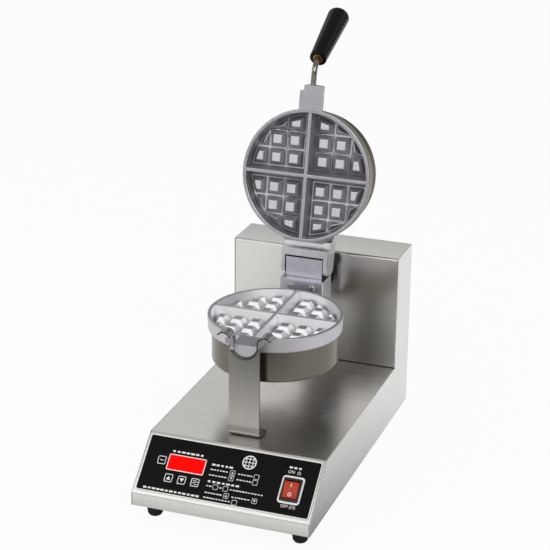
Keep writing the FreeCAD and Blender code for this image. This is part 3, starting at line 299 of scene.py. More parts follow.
def grown(name, tree, points, **values):
    """Runs a tree on loose points with its named inputs set, and gives the baked piece."""
    mesh = bpy.data.meshes.new(name)
    mesh.from_pydata(points, [], [])
    piece = new_piece(name, mesh)
    modifier = piece.modifiers.new(name, "NODES")
    modifier.node_group = tree
    for item in tree.interface.items_tree:
        if item.in_out == "INPUT" and item.name in values:
            modifier[item.identifier] = values[item.name]
    return baked(piece)


def slotted_screw():
    """Tree for pan-head screws, drawn round Z with the seat at zero and turned to face outwards."""
    tree, given = new_tree("slotted_screw", Thread="Float", Length="Float", Facing="Vector",
                           Material="Material")
    height = add(tree, "ShaderNodeMath", {0: given["Thread"], 1: HEAD_HEIGHT}, operation="MULTIPLY")
    blank = add(tree, "GeometryNodeMeshCylinder", {"Vertices": HEAD_SIDES, "Side Segments": HEAD_RINGS,
                                                   "Radius": given["Thread"], "Depth": height})
    place = add(tree, "GeometryNodeInputPosition")
    apart = add(tree, "ShaderNodeSeparateXYZ", {"Vector": place}).outputs
    share = add(tree, "ShaderNodeMath", {0: apart["Z"], 1: height}, operation="DIVIDE")
    rise = add(tree, "ShaderNodeMath", {0: share, 1: HEAD_CROWN, 2: HEAD_CROWN / 2}, operation="MULTIPLY_ADD")
    square = add(tree, "ShaderNodeMath", {0: rise, 1: 2.0}, operation="POWER")
    rest = add(tree, "ShaderNodeMath", {0: 1.0, 1: square}, operation="SUBTRACT")
    narrow = add(tree, "ShaderNodeMath", {0: rest}, operation="SQRT")
    wide = add(tree, "ShaderNodeCombineXYZ", {"X": narrow, "Y": narrow, "Z": 1.0})
    crowned = add(tree, "ShaderNodeVectorMath", {0: place, 1: wide}, operation="MULTIPLY")
    domed = add(tree, "GeometryNodeSetPosition", {"Geometry": blank, "Position": crowned})
    half = add(tree, "ShaderNodeMath", {0: height, 1: 0.5}, operation="MULTIPLY")
    lift = add(tree, "ShaderNodeCombineXYZ", {"Z": half})
    head = add(tree, "GeometryNodeTransform", {"Geometry": domed, "Translation": lift})
    slot = (SLOT_LENGTH, SLOT_WIDTH, 2 * SLOT_DEPTH)
    slot = add(tree, "ShaderNodeVectorMath", {0: slot, "Scale": given["Thread"]}, operation="SCALE")
    cutter = add(tree, "GeometryNodeMeshCube", {"Size": slot})
    top = add(tree, "ShaderNodeCombineXYZ", {"Z": height})
    cutter = add(tree, "GeometryNodeTransform", {"Geometry": cutter, "Translation": top})
    head = add(tree, "GeometryNodeMeshBoolean", {"Mesh 1": head, "Mesh 2": cutter}, operation="DIFFERENCE")
    thin = add(tree, "ShaderNodeMath", {0: given["Thread"], 1: 0.5}, operation="MULTIPLY")
    shank = add(tree, "GeometryNodeMeshCylinder", {"Vertices": SHANK_SIDES, "Radius": thin,
                                                   "Depth": given["Length"]})
    back = add(tree, "ShaderNodeMath", {0: given["Length"], 1: -0.5}, operation="MULTIPLY")
    drop = add(tree, "ShaderNodeCombineXYZ", {"Z": back})
    shank = add(tree, "GeometryNodeTransform", {"Geometry": shank, "Translation": drop})
    screw = add(tree, "GeometryNodeJoinGeometry")
    for part in (head, shank):
        tree.links.new(outlet(part), screw.inputs[0])
    turn = add(tree, "FunctionNodeEulerToRotation", {"Euler": given["Facing"]})
    placed = add(tree, "GeometryNodeInstanceOnPoints", {"Points": given["Geometry"], "Instance": screw,
                                                        "Rotation": turn})
    angle = add(tree, "FunctionNodeRandomValue", {"Max": (0, 0, math.pi), "Seed": 4},
                data_type="FLOAT_VECTOR")
    spun = add(tree, "GeometryNodeRotateInstances", {"Instances": placed, "Rotation": angle})
    end_tree(tree, spun, given["Material"])
    return tree


def mottled(name, dark, light, roughness, spread, size, detail, depth=0.0, **sockets):
    """One tone clouded with another in patches of a given size. The patches also vary the gloss, and with a
    depth they stand out as a grain."""
    material, tree, join = new_finish(name, **sockets)
    place = add(tree, "ShaderNodeTexCoord").outputs["Object"]
    patches = add(tree, "ShaderNodeTexNoise", {"Vector": place, "Scale": 1 / size, "Detail": detail})
    tint = add(tree, "ShaderNodeMix", {0: patches, 6: linear(dark), 7: linear(light)}, data_type="RGBA")
    gloss = add(tree, "ShaderNodeMapRange", {"Value": patches, TO: (roughness - spread, roughness + spread)})
    join("Base Color", tint)
    join("Roughness", gloss)
    if depth:
        bump = add(tree, "ShaderNodeBump", {"Height": patches, "Strength": 0.3, "Distance": depth})
        join("Normal", bump)
    return material


def plated_steel(name, dark, light, roughness):
    """Zinc-plated steel: a soft bright metal with a faint warm mottle from the plating."""
    return mottled(name, dark, light, roughness, PLATING_GLOSS, PLATING, 3.0, Metallic=1.0)


screw_tree = slotted_screw()
screw_steel = plated_steel("zinc_plated_steel", "#A5A39F", "#D0CECA", 0.3)
FACING = {"up": (0, 0, 0), "down": (math.pi, 0, 0),
          "front": (math.pi / 2, 0, 0), "back": (-math.pi / 2, 0, 0)}
OUTWARD = {"up": UPWARD, "down": -UPWARD, "front": -BACKWARD, "back": BACKWARD}


def screws(name, solids, facing):
    """Slotted screws in the places of plain ones, whose heads all face one way."""
    out = OUTWARD[facing]
    low, high = solids[0]
    size = high - low
    thread = size.x / 2
    length = abs(size.dot(out)) - HEAD_HEIGHT * thread
    seats = []
    for low, high in solids:
        middle = (low + high) / 2
        seats.append(middle + out * (abs(size.dot(out)) / 2 - HEAD_HEIGHT * thread))
    return grown(name, screw_tree, seats, Thread=thread, Length=length, Facing=FACING[facing],
                 Material=screw_steel)


for node, facing in (("cover_screws", "back"), ("foot_screws", "down"), ("bearing_screws", "front"),
                     ("bracket_screws", "up")):
    settle(screws(node + "_made", solids_of(node), facing), "stand", "steel_fastener", screw_steel, node)
block_screws = solids_of("hinge_block_screws")
front_row = max(high.z for low, high in block_screws)
front_heads = [pair for pair in block_screws if pair[1].z == front_row]
back_heads = [pair for pair in block_screws if pair[1].z < front_row]
settle(screws("hinge_block_screws_front", front_heads, "front"), "lower_plate", "steel_fastener",
       screw_steel, "hinge_block_screws")
settle(screws("hinge_block_screws_back", back_heads, "back"), "lower_plate", "steel_fastener", screw_steel)

# Feet and cord gland
# The four feet are moulded black rubber with a recessed screw, so the stand does not slide. The gland is a
# moulded nylon bush that grips the mains lead where it leaves the rear cover.
RUBBER_GRAIN = 0.9 * MM
NYLON_GRAIN = 0.5 * MM
MOULDED_GLOSS = 0.06


def moulded(name, dark, light, roughness, grain, depth, shine=0.5):
    """Moulded rubber or plastic: one colour with a fine even grain from the tool's blasted face."""
    return mottled(name, dark, light, roughness, MOULDED_GLOSS, grain, 2.0, depth, Specular_IOR_Level=shine)


rubber = moulded("moulded_rubber", "#121213", "#232325", 0.62, RUBBER_GRAIN, 0.05 * MM)
nylon = moulded("moulded_nylon", "#0E0E10", "#1A1A1C", 0.42, NYLON_GRAIN, 0.02 * MM)
dress("feet", 0.6 * MM, "stand", "rubber_foot", rubber)
dress("cord_gland", 0.5 * MM, "stand", "gland_nylon", nylon)

# Power parts inside the base
# Out of sight under the sheets: a control board on plated steel spacers, the digit module, a transformer,
# a relay and a screw terminal block. They are bought parts, bolted to the bottom plate and the wrap.
BOARD_WEAVE = 2.0 * MM
CASE_GRAIN = 0.6 * MM


def keep(node, material):
    """A CAD node whose shape is right stays, and takes its finish."""
    shape = frame["nodes"][node]
    shape.data.materials.clear()
    shape.data.materials.append(material)


board_green = moulded("glass_epoxy_board", "#174A2A", "#236B3D", 0.35, BOARD_WEAVE, 0.01 * MM)
case_black = moulded("moulded_phenolic_case", "#17181B", "#26282C", 0.45, CASE_GRAIN, 0.02 * MM)
core_steel = plated_steel("laminated_core_steel", "#4E4D4A", "#77736B", 0.5)
keep("control_board", board_green)
keep("board_spacers", screw_steel)
for node in ("display_module", "power_relay", "terminal_block"):
    keep(node, case_black)
keep("transformer", core_steel)

# Control film
# One printed polyester film, glued to the slope: black with a pale border, legends printed in white ink.
# It is cut out for the four keys, the red digit window and the switch. Its print is laid out in millimetres.
FILM = 1.0 * MM
FILM_MIDDLE = 46.15
FILM_WIDTH = 246.6
FILM_HEIGHT = 81.7
FILM_CORNER = 4.0
FILM_GRAIN = 0.7 * MM
BORDER = 1.5
INK = 0.04
INK_GRAIN = 0.6 * MM
CORNER_STEPS = 5
LEAST_CORNER = 0.1
key_press = next(joint for joint in frame["joints"] if joint["name"] == "clear_key_press")
slope_out = -Vector(key_press["axis"])
slope_up = slope_out.cross(ACROSS)
film_middle = sum(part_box("control_overlay"), Vector()) / 2


def on_film(x, s, lift):
    """Point over the film's face: x across and s up the slope, both in millimetres, like the lift."""
    across = ACROSS * x + slope_up * (s - FILM_MIDDLE) + slope_out * lift
    return film_middle + slope_out * (FILM / 2) + across * MM


def rounded(x, s, width, height, corner):
    """Outline of a rectangle with round corners, about its middle."""
    points = []
    for quarter, (i, j) in enumerate(((1, 1), (-1, 1), (-1, -1), (1, -1))):
        for step in range(CORNER_STEPS + 1):
            turn = math.pi / 2 * (quarter + step / CORNER_STEPS)
            points.append((x + i * (width / 2 - corner) + corner * math.cos(turn),
                           s + j * (height / 2 - corner) + corner * math.sin(turn)))
    return points


def ring(x, s, width, height, corner, line):
    """Printed line round a rounded rectangle, as its outer and its inner outline."""
    inner = rounded(x, s, width - 2 * line, height - 2 * line, max(corner - line, LEAST_CORNER))
    return rounded(x, s, width, height, corner), inner


def bar(x0, x1, s0, s1):
    return [(x0, s0), (x1, s0), (x1, s1), (x0, s1)], None


def inked(name, shapes, place):
    """Ink a few hundredths of a millimetre thick: each shape is an outline, with another for a hole."""
    work = bmesh.new()
    for outer, inner in shapes:
        rims = []
        for outline in (outer, inner):
            if outline:
                rims.append([[work.verts.new(place(x, s, lift)) for x, s in outline] for lift in (0, INK)])
        for low, high in rims:
            for i in range(len(low)):
                work.faces.new((low[i - 1], low[i], high[i], high[i - 1]))
        for level in (0, 1):
            if inner:
                outside = rims[0][level]
                inside = rims[1][level]
                for i in range(len(outside)):
                    work.faces.new((outside[i - 1], outside[i], inside[i], inside[i - 1]))
            else:
                work.faces.new(rims[0][level])
    bmesh.ops.recalc_face_normals(work, faces=work.faces)
    mesh = bpy.data.meshes.new(name)
    work.to_mesh(mesh)
    work.free()
    return new_piece(name, mesh)


film_black = moulded("printed_polyester_film", "#050506", "#0B0B0D", 0.38, FILM_GRAIN, 0.006 * MM, shine=0.1)
white_ink = moulded("white_screen_ink", "#D9D8D5", "#F2F1EE", 0.5, INK_GRAIN, 0.004 * MM)
dress("control_overlay", 0.25 * MM, "stand", "membrane_film", film_black)

WINDOW = (-61.8, 51.5)
WINDOW_FRAME = (54.0, 23.2, 2.2)
WINDOW_LINE = 1.2
SWITCH = (90.0, 41.8)
SWITCH_FRAME = (31.0, 39.0, 4.5)
SWITCH_LINE = 2.9
KEY_ICON = 7.2
ICON_CORNER = 1.2
ICON_LINE = 0.55
ICON_POINTER = KEY_ICON / 2
POINTER_DROP = 0.4
POINTER_RISE = 0.45
KEY_ICONS = ((5, 51), (39, 51), (5, 43), (39, 43), (-13, 27.5), (1.5, 27.5), (5, 18), (45, 18), (18.5, 11))
POINTS_UP = ((5, 51), (5, 18))
POINTS_DOWN = ((5, 43), (45, 18))


def pointer(x, s, size, sign):
    """Printed arrow head, up for a sign of 1 and down for -1."""
    foot = s - sign * size * POINTER_DROP
    return [(x - size / 2, foot), (x + size / 2, foot), (x, s + sign * size * POINTER_RISE)], None


legend = [ring(0, FILM_MIDDLE, FILM_WIDTH, FILM_HEIGHT, FILM_CORNER, BORDER),
          ring(*WINDOW, *WINDOW_FRAME, WINDOW_LINE),
          ring(*SWITCH, *SWITCH_FRAME, SWITCH_LINE)]
legend += [ring(x, s, KEY_ICON, KEY_ICON, ICON_CORNER, ICON_LINE) for x, s in KEY_ICONS]
legend += [pointer(x, s, ICON_POINTER, 1) for x, s in POINTS_UP]
legend += [pointer(x, s, ICON_POINTER, -1) for x, s in POINTS_DOWN]
settle(inked("film_legend", legend, on_film), "stand", "membrane_film", white_ink)

# A round waffle mark is printed above the small print: a ring crossed by a grid of bars.
MARK = (24.0, 69.5)
MARK_SIZE = 20.0
MARK_LINE = 1.6
MARK_PITCH = 5.0
MARK_BAR = 0.5
mark_x, mark_s = MARK
mark = [ring(*MARK, MARK_SIZE, MARK_SIZE, MARK_SIZE / 2, MARK_LINE)]
for step in (-1, 0, 1):
    reach = math.sqrt((MARK_SIZE / 2 - MARK_LINE) ** 2 - (step * MARK_PITCH) ** 2)
    offset = step * MARK_PITCH
    mark.append(bar(mark_x + offset - MARK_BAR, mark_x + offset + MARK_BAR, mark_s - reach, mark_s + reach))
    mark.append(bar(mark_x - reach, mark_x + reach, mark_s + offset - MARK_BAR, mark_s + offset + MARK_BAR))
settle(inked("film_mark", mark, on_film), "stand", "membrane_film", white_ink)

WORD_SHORT = 0.5
WORD_LONG = 0.86


def word_bars():
    """Tree for lines of print too small to read: a bar for each word, of random length within its place."""
    tree, given = new_tree("word_bars", Pitch="Float", Height="Float", Facing="Vector", Material="Material")
    chosen = add(tree, "FunctionNodeRandomValue", {2: WORD_SHORT, 3: WORD_LONG, "Seed": 7})
    length = add(tree, "ShaderNodeMath", {0: chosen, 1: given["Pitch"]}, operation="MULTIPLY")
    size = add(tree, "ShaderNodeCombineXYZ", {"X": length, "Y": given["Height"], "Z": INK * MM})
    block = add(tree, "GeometryNodeMeshCube", {"Size": (1, 1, 1)})
    turn = add(tree, "FunctionNodeEulerToRotation", {"Euler": given["Facing"]})
    placed = add(tree, "GeometryNodeInstanceOnPoints", {"Points": given["Geometry"], "Instance": block,
                                                        "Rotation": turn, "Scale": size})
    end_tree(tree, placed, given["Material"])
    return tree


slope_angle = math.atan2(slope_up.z, slope_up.y)
word_tree = word_bars()
SMALL_LINES = ((-27, -1, 51), (12, 34, 51), (-27, -1, 43), (12, 34, 43), (-27, -18, 27.5), (-8.5, -3, 27.5),
               (7, 55, 27.5), (-26, -1, 18), (12, 39, 18), (-26, 13, 11))
SMALL_PITCH = 4.5
SMALL_HEIGHT = 1.5
LARGE_LINES = ((-27, 4, 58), (-27, 20, 34), (-113, -31, 10.5), (-87, -40, 67.3), (79, 98, 73))
LARGE_PITCH = 6.5
LARGE_HEIGHT = 2.5


def printed_lines(name, lines, pitch, height):
    places = []
    for x0, x1, s in lines:
        count = max(1, round((x1 - x0) / pitch))
        for step in range(count):
            places.append(on_film(x0 + (step + 0.5) * (x1 - x0) / count, s, INK / 2))
    words = grown(name, word_tree, places, Pitch=pitch * MM, Height=height * MM, Facing=(slope_angle, 0, 0),
                  Material=white_ink)
    settle(words, "stand", "membrane_film", white_ink)


printed_lines("film_small_print", SMALL_LINES, SMALL_PITCH, SMALL_HEIGHT)
printed_lines("film_headings", LARGE_LINES, LARGE_PITCH, LARGE_HEIGHT)

LETTER_SIZE = 6.0
ON_WORD = (88.5, 66.6)
OFF_WORD = (91.5, 18.5)


def lettered(name, text, x, s):
    """Generic switch words as flat ink on the film, made a mesh before they take their place."""
    curve = bpy.data.curves.new(name, "FONT")
    curve.body = text
    curve.size = LETTER_SIZE
    curve.align_x = "CENTER"
    curve.align_y = "CENTER"
    curve.extrude = INK / 2
    letters = new_piece(name + "_curve", curve)
    mesh = bpy.data.meshes.new_from_object(letters.evaluated_get(bpy.context.evaluated_depsgraph_get()))
    bpy.data.objects.remove(letters)
    for vert in mesh.vertices:
        vert.co = on_film(x + vert.co.x, s + vert.co.y, INK / 2 + vert.co.z)
    settle(new_piece(name, mesh), "stand", "membrane_film", white_ink)


lettered("film_on_word", "ON  (I)", *ON_WORD)
lettered("film_off_word", "OFF (O)", *OFF_WORD)

# Red digit window
# A tinted acrylic window in front of the digits, snapped into the film from behind. It glows with painted
# light: the window itself gives off a little red light, standing for light from behind spreading in the
# acrylic, so it shows as one even bright red.
WINDOW_HAZE = 12 * MM


def tinted_window():
    """Tinted acrylic: clear red with a faint haze and a dull face, and a little painted glow."""
    material, tree, join = new_finish("red_acrylic_window", Roughness=0.3, Specular_IOR_Level=0.05,
                                      Emission_Strength=0.3)
    place = add(tree, "ShaderNodeTexCoord").outputs["Object"]
    haze = add(tree, "ShaderNodeTexNoise", {"Vector": place, "Scale": 1 / WINDOW_HAZE, "Detail": 1.0})
    tint = add(tree, "ShaderNodeMix", {0: haze, 6: linear("#E60000"), 7: linear("#FF0503")}, data_type="RGBA")
    join("Base Color", tint)
    join("Emission Color", tint)
    return material


dress("display_window", 0.2 * MM, "stand", "red_window", tinted_window())

# Keys
# Four dome keys under the film: a printed pad that dips half a millimetre when it is pressed. Each has a
# white outline, and arrows or bars for its sign.
KEY_SIZE = 11.6
KEY_CORNER = 2.2
KEY_LINE = 0.95
KEY_PROUD = 0.15
KEY_POINTER = 6.2
KEYS = {"key_clear": ("clear_key", -97.6, 51.9), "key_up": ("up_key", -80.9, 28.6),
        "key_down": ("down_key", -61.8, 28.6), "key_set": ("set_key", -42.7, 28.6)}
SLASH = [(-4.2, -1.5), (4.2, 1.1), (4.2, 1.9), (-4.2, -0.7)]
SIGNS = {"key_clear": [bar(-2.6, 2.6, -0.5, 0.5)],
         "key_up": [pointer(0, 0, KEY_POINTER, 1)],
         "key_down": [pointer(0, 0, KEY_POINTER, -1)],
         "key_set": [(SLASH, None), bar(-3.4, 1.2, 2.2, 3.1), bar(-0.6, 3.4, -3.1, -2.2)]}


def on_key(x, s, lift):
    return on_film(x, s, KEY_PROUD + lift)


for node, (body, x, s) in KEYS.items():
    shapes = [ring(x, s, KEY_SIZE, KEY_SIZE, KEY_CORNER, KEY_LINE)]
    for outline, hole in SIGNS[node]:
        shapes.append(([(x + i, s + j) for i, j in outline], hole))
    dress(node, 0.1 * MM, body, "membrane_film", film_black)
    settle(inked(node + "_sign", shapes, on_key), body, "membrane_film", white_ink)

# Power switch
# A snap-in rocker switch: a black nylon bezel and a glossy orange-red rocker, dished across the middle,
# with the marks for on and off moulded white.
ROCKER_DISH = 3.6
ROCKER_RISE = 1.4 / 11.2
ROCKER_PIVOT = -2.0
ROCKER_TILT = math.radians(8.0)
ROCKER_FLOW = 6.0 * MM
ON_MARK = bar(-0.6, 0.6, 4.2, 8.6)
OFF_MARK = ring(0, -6.2, 5.2, 5.2, 2.6, 1.0)


def on_rocker(x, s, lift):
    """Point over the rocker's dished face, tilted as it rests: x and s from the switch's middle."""
    height = ROCKER_DISH + abs(s) * ROCKER_RISE + lift - ROCKER_PIVOT
    along = s * math.cos(ROCKER_TILT) - height * math.sin(ROCKER_TILT)
    up = s * math.sin(ROCKER_TILT) + height * math.cos(ROCKER_TILT) + ROCKER_PIVOT
    return on_film(SWITCH[0] + x, SWITCH[1] + along, up - FILM / MM)


rocker_red = moulded("glossy_red_plastic", "#A2280D", "#BC3813", 0.28, ROCKER_FLOW, 0.004 * MM, shine=0.25)
dress("switch_bezel", 0.3 * MM, "stand", "switch_body", nylon)
dress("power_rocker", 0.7 * MM, "rocker", "rocker_red", rocker_red, segments=3)
settle(inked("rocker_marks", [ON_MARK, OFF_MARK], on_rocker), "rocker", "rocker_red", white_ink)

# Front bracket and cradle
# A folded stainless upright, screwed to the base, carries a sprung steel band. The band is bent into a
# cradle with two curled ears, and holds the lower plate's front ear level until the plates are turned.
STRIP = 3.0 * MM
DRAWN_BEND = 3.0 * MM
DRAWN_INNER = 1.0 * MM
BEND = 9.0 * MM
NEAR = 0.1 * MM
LENGTHWISE = Vector((0, 0.6, 0.8))
bracket_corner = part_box("front_bracket")[0]


def wider_bend(place):
    """Moves the points of the tight fold above the foot out to the real strip's wider bend."""
    middle = bracket_corner + (BACKWARD + UPWARD) * BEND
    outer_face = (DRAWN_BEND, DRAWN_BEND, BEND)
    inner_face = (DRAWN_INNER, STRIP + DRAWN_INNER, BEND - STRIP)
    for drawn, inset, wide in (outer_face, inner_face):
        arm = place - bracket_corner - (BACKWARD + UPWARD) * inset
        arm.x = 0
        if abs(arm.length - drawn) < NEAR and max(arm.y, arm.z) < NEAR:
            spot = middle + arm * (wide / drawn)
            return Vector((place.x, spot.y, spot.z))
    return place


# The bracket's stainless is tinted darker than the same sheet in the stand: painted shade.
bracket_steel = brushed_stainless("brushed_stainless_bracket", "#A5A29C", "#AFACA6", LENGTHWISE, 0.2, 0.012,
                                  sheared=ACROSS)
spring = brushed_stainless("spring_steel_band", "#9C9A96", "#B2B0AC", ACROSS, 0.24, 0.02, sheared=BACKWARD)
dress("front_bracket", 0.3 * MM, "stand", "stainless_sheet", bracket_steel, moved=wider_bend)
dress("cradle_clip", 0.3 * MM, "stand", "spring_steel", spring)

# Turning bearing
# The plates turn on a bored steel shaft in a flanged bush of blackened sintered iron, behind the tower's
# front sheet. A collar keeps the shaft from sliding out, and a folded brace stiffens the sheet.
bearing_iron = plated_steel("blackened_sintered_iron", "#2A2928", "#454341", 0.5)
shaft_steel = plated_steel("ground_steel_shaft", "#A6A39D", "#C9C6C0", 0.24)
dress("pivot_bearing", 0.4 * MM, "stand", "bearing_iron", bearing_iron)
dress("pivot_shaft", 0.6 * MM, "lower_plate", "steel_fastener", shaft_steel)
dress("shaft_collar", 0.5 * MM, "lower_plate", "steel_fastener", shaft_steel)
dress("tower_brace", SHEET_EDGE, "stand", "stainless_sheet", wrap_steel)

# Waffle grids
# Two sand-cast aluminium plates with a cross of dividers and square studs that press the waffle. The skin
# is granular and dull on the rim and the ear. Inside it is cleaner, with oil baked into the corners that
# also stands for painted shade there. The flats that face out carry painted light on the lid and painted
# shade on the lower grid, and use has bared the edges bright.
CAST_EDGE = 0.9 * MM
# Real casting grain is about 0.4 mm, too fine to show here, so it is drawn about three times as coarse.
GRIT = 1.2 * MM
GRIT_BAND = (0.34, 0.66)
STAIN = 14 * MM
STAIN_BAND = (0.4, 0.7)
STAIN_SHARE = 0.35
SKIN_DEPTH = (0.2 * MM, 1.2 * MM)
CAVITY_EDGE = (91 * MM, 90 * MM)
RIM_EDGE = (93.5 * MM, 93.9 * MM)
# Painted light and shade on the flats that face out: their depth sets how much of the painted tone they take.
FLAT_PAINT_DEPTH = (1 * MM, 3 * MM)
STUD_TO_FLOOR = (6 * MM, 15.5 * MM)
STUD_TO_FLOOR_PAINT = (1.0, 0.8)
RIM_PAINT_SHARE = 0.25
# Tilts are the share of a face's normal that points into the casting, so a flat facing out has -1.
FLAT_TILT = (-0.9, -0.98)
EDGE_TILT = (-0.68, -0.8)
EDGE_SHARE = 0.8
EDGE_GLOSS = -0.15
# Burnt oil in the corners, darkened further as painted shade where ambient occlusion finds them enclosed.
NOOK = 9 * MM
NOOK_BAND = (0.3, 0.75)
NOOK_SHARE = (0.6, 0.0)
SKIN_DARK = "#827F88"
SKIN_LIGHT = "#CAC7CE"
STAINED = "#8C8784"
BURNT_OIL_AND_SHADE = "#57524E"
BARE_METAL = "#F4F3F5"
lid_joint = next(joint for joint in frame["joints"] if joint["name"] == "lid_hinge")
flip_joint = next(joint for joint in frame["joints"] if joint["name"] == "grid_flip")
open_angle = math.radians(lid_joint["range_deg"][1])
pin = Vector(lid_joint["pos_m"])
plate_middle = sum(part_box("lower_shell"), Vector()) / 2
plate_middle.z = flip_joint["pos_m"][2]
lid_turn = Matrix.Rotation(-open_angle, 3, "X")
lid_middle = pin + lid_turn @ (plate_middle - pin)
lid_axis = lid_turn @ UPWARD


def cast_aluminium(name, middle, inward, dark, light, painted_flat_tone, side):
    """Sand-cast aluminium: a dull granular skin, cleaner in the cavity. Burnt oil and painted shade darken
    the corners, and the flats that face out take a painted tone for how light falls on them. Use bares the
    edges, and the outer side has its own tint."""
    material, tree, join = new_finish(name, Metallic=1.0)
    coordinates = add(tree, "ShaderNodeTexCoord").outputs
    place = coordinates["Object"]
    arm = add(tree, "ShaderNodeVectorMath", {0: place, 1: middle}, operation="SUBTRACT")
    depth = add(tree, "ShaderNodeVectorMath", {0: arm, 1: inward}, operation="DOT_PRODUCT")
    out = add(tree, "ShaderNodeVectorMath", {0: arm, 1: inward}, operation="CROSS_PRODUCT")
    radius = add(tree, "ShaderNodeVectorMath", {0: out}, operation="LENGTH")
    below = add(tree, "ShaderNodeMapRange", {"Value": depth, FROM: SKIN_DEPTH})
    within = add(tree, "ShaderNodeMapRange", {"Value": radius, FROM: CAVITY_EDGE})
    beyond = add(tree, "ShaderNodeMapRange", {"Value": radius, FROM: RIM_EDGE})
    cavity = add(tree, "ShaderNodeMath", {0: below, 1: within}, operation="MULTIPLY")
    flank = add(tree, "ShaderNodeMath", {0: below, 1: beyond}, operation="MULTIPLY")
    tilt = add(tree, "ShaderNodeVectorMath", {0: coordinates["Normal"], 1: inward}, operation="DOT_PRODUCT")
    flat = add(tree, "ShaderNodeMapRange", {"Value": tilt, FROM: FLAT_TILT})
    # Painted tone on the flats: lighter on the lid and darker on the lower grid, for how the light falls on
    # them.
    flat_weight = add(tree, "ShaderNodeMapRange", {"Value": depth, FROM: STUD_TO_FLOOR, TO: STUD_TO_FLOOR_PAINT})
    reached = add(tree, "ShaderNodeMapRange", {"Value": depth, FROM: FLAT_PAINT_DEPTH})
    flat_weight = add(tree, "ShaderNodeMath", {0: flat_weight, 1: reached}, operation="MULTIPLY")
    painted_flats = add(tree, "ShaderNodeMath", {0: flat, 1: flat_weight}, operation="MULTIPLY")
    grains = add(tree, "ShaderNodeTexNoise", {"Vector": place, "Scale": 1 / GRIT, "Detail": 4.0,
                                              "Roughness": 0.65})
    stains = add(tree, "ShaderNodeTexNoise", {"Vector": place, "Scale": 1 / STAIN, "Detail": 3.0})
    contrast = add(tree, "ShaderNodeMapRange", {"Value": grains, FROM: GRIT_BAND})
    skin = add(tree, "ShaderNodeMix", {0: contrast, 6: linear(SKIN_DARK), 7: linear(SKIN_LIGHT)},
               data_type="RGBA")
    aged = add(tree, "ShaderNodeMapRange", {"Value": stains, FROM: STAIN_BAND, "To Max": STAIN_SHARE})
    # The rim's outward flats take a share of the same painted tone.
    painted_rim = add(tree, "ShaderNodeMath", {0: flat, 1: beyond}, operation="MULTIPLY")
    painted_rim = add(tree, "ShaderNodeMath", {0: painted_rim, 1: RIM_PAINT_SHARE}, operation="MULTIPLY")
    for share, colour in ((aged, STAINED), (flank, side), (painted_rim, painted_flat_tone)):
        skin = add(tree, "ShaderNodeMix", {0: share, 6: skin, 7: linear(colour)}, data_type="RGBA")
    # Burnt oil and painted shade: the corners darken as ambient occlusion finds them enclosed.
    nook = add(tree, "ShaderNodeAmbientOcclusion", {"Distance": NOOK}, samples=12, only_local=True)
    burnt_oil_and_shade = add(tree, "ShaderNodeMapRange", {"Value": nook.outputs["AO"], FROM: NOOK_BAND, TO: NOOK_SHARE})
    clean = add(tree, "ShaderNodeMix", {0: contrast, 6: linear(dark), 7: linear(light)}, data_type="RGBA")
    for share, colour in ((painted_flats, painted_flat_tone), (burnt_oil_and_shade, BURNT_OIL_AND_SHADE)):
        clean = add(tree, "ShaderNodeMix", {0: share, 6: clean, 7: linear(colour)}, data_type="RGBA")
    tint = add(tree, "ShaderNodeMix", {0: cavity, 6: skin, 7: clean}, data_type="RGBA")
    rising = add(tree, "ShaderNodeMapRange", {"Value": tilt, FROM: EDGE_TILT})
    edge = add(tree, "ShaderNodeMath", {0: rising, 1: flat}, operation="SUBTRACT", use_clamp=True)
    bared = add(tree, "ShaderNodeMath", {0: edge, 1: EDGE_SHARE}, operation="MULTIPLY")
    tint = add(tree, "ShaderNodeMix", {0: bared, 6: tint, 7: linear(BARE_METAL)}, data_type="RGBA")
    rough = add(tree, "ShaderNodeMapRange", {"Value": grains, TO: (0.4, 0.56)})
    rough = add(tree, "ShaderNodeMath", {0: edge, 1: EDGE_GLOSS, 2: rough}, operation="MULTIPLY_ADD")
    bump = add(tree, "ShaderNodeBump", {"Height": grains, "Strength": 0.35, "Distance": 0.12 * MM})
    join("Base Color", tint)
    join("Roughness", rough)
    join("Normal", bump)
    return material


# Both castings are the same metal: the lower one's tones are painted light and the lid's are painted shade.
# The lid's olive side is heat tint and painted shade.
lower_casting = cast_aluminium("cast_aluminium_lower", plate_middle, -UPWARD, dark="#E4E3E6", light="#F4F3F5",
                               painted_flat_tone="#ADABAF", side="#CBC9CD")
upper_casting = cast_aluminium("cast_aluminium_upper", lid_middle, lid_axis, dark="#9F9DA3", light="#C6C4C9",
                               painted_flat_tone="#D6D4D9", side="#8C8881")
dress("lower_grid", CAST_EDGE, "lower_plate", "cast_aluminium", lower_casting)
dress("upper_grid", CAST_EDGE, "lid", "cast_aluminium", upper_casting)

# Pans behind the grids
# Each grid's heater is covered by a pan spun from stainless sheet, so its brush lines run round it. A long
# bolt through the middle holds it to the casting.
PAN_DARK = "#6B675F"
PAN_LIGHT = "#757169"
STRAW = "#706C61"


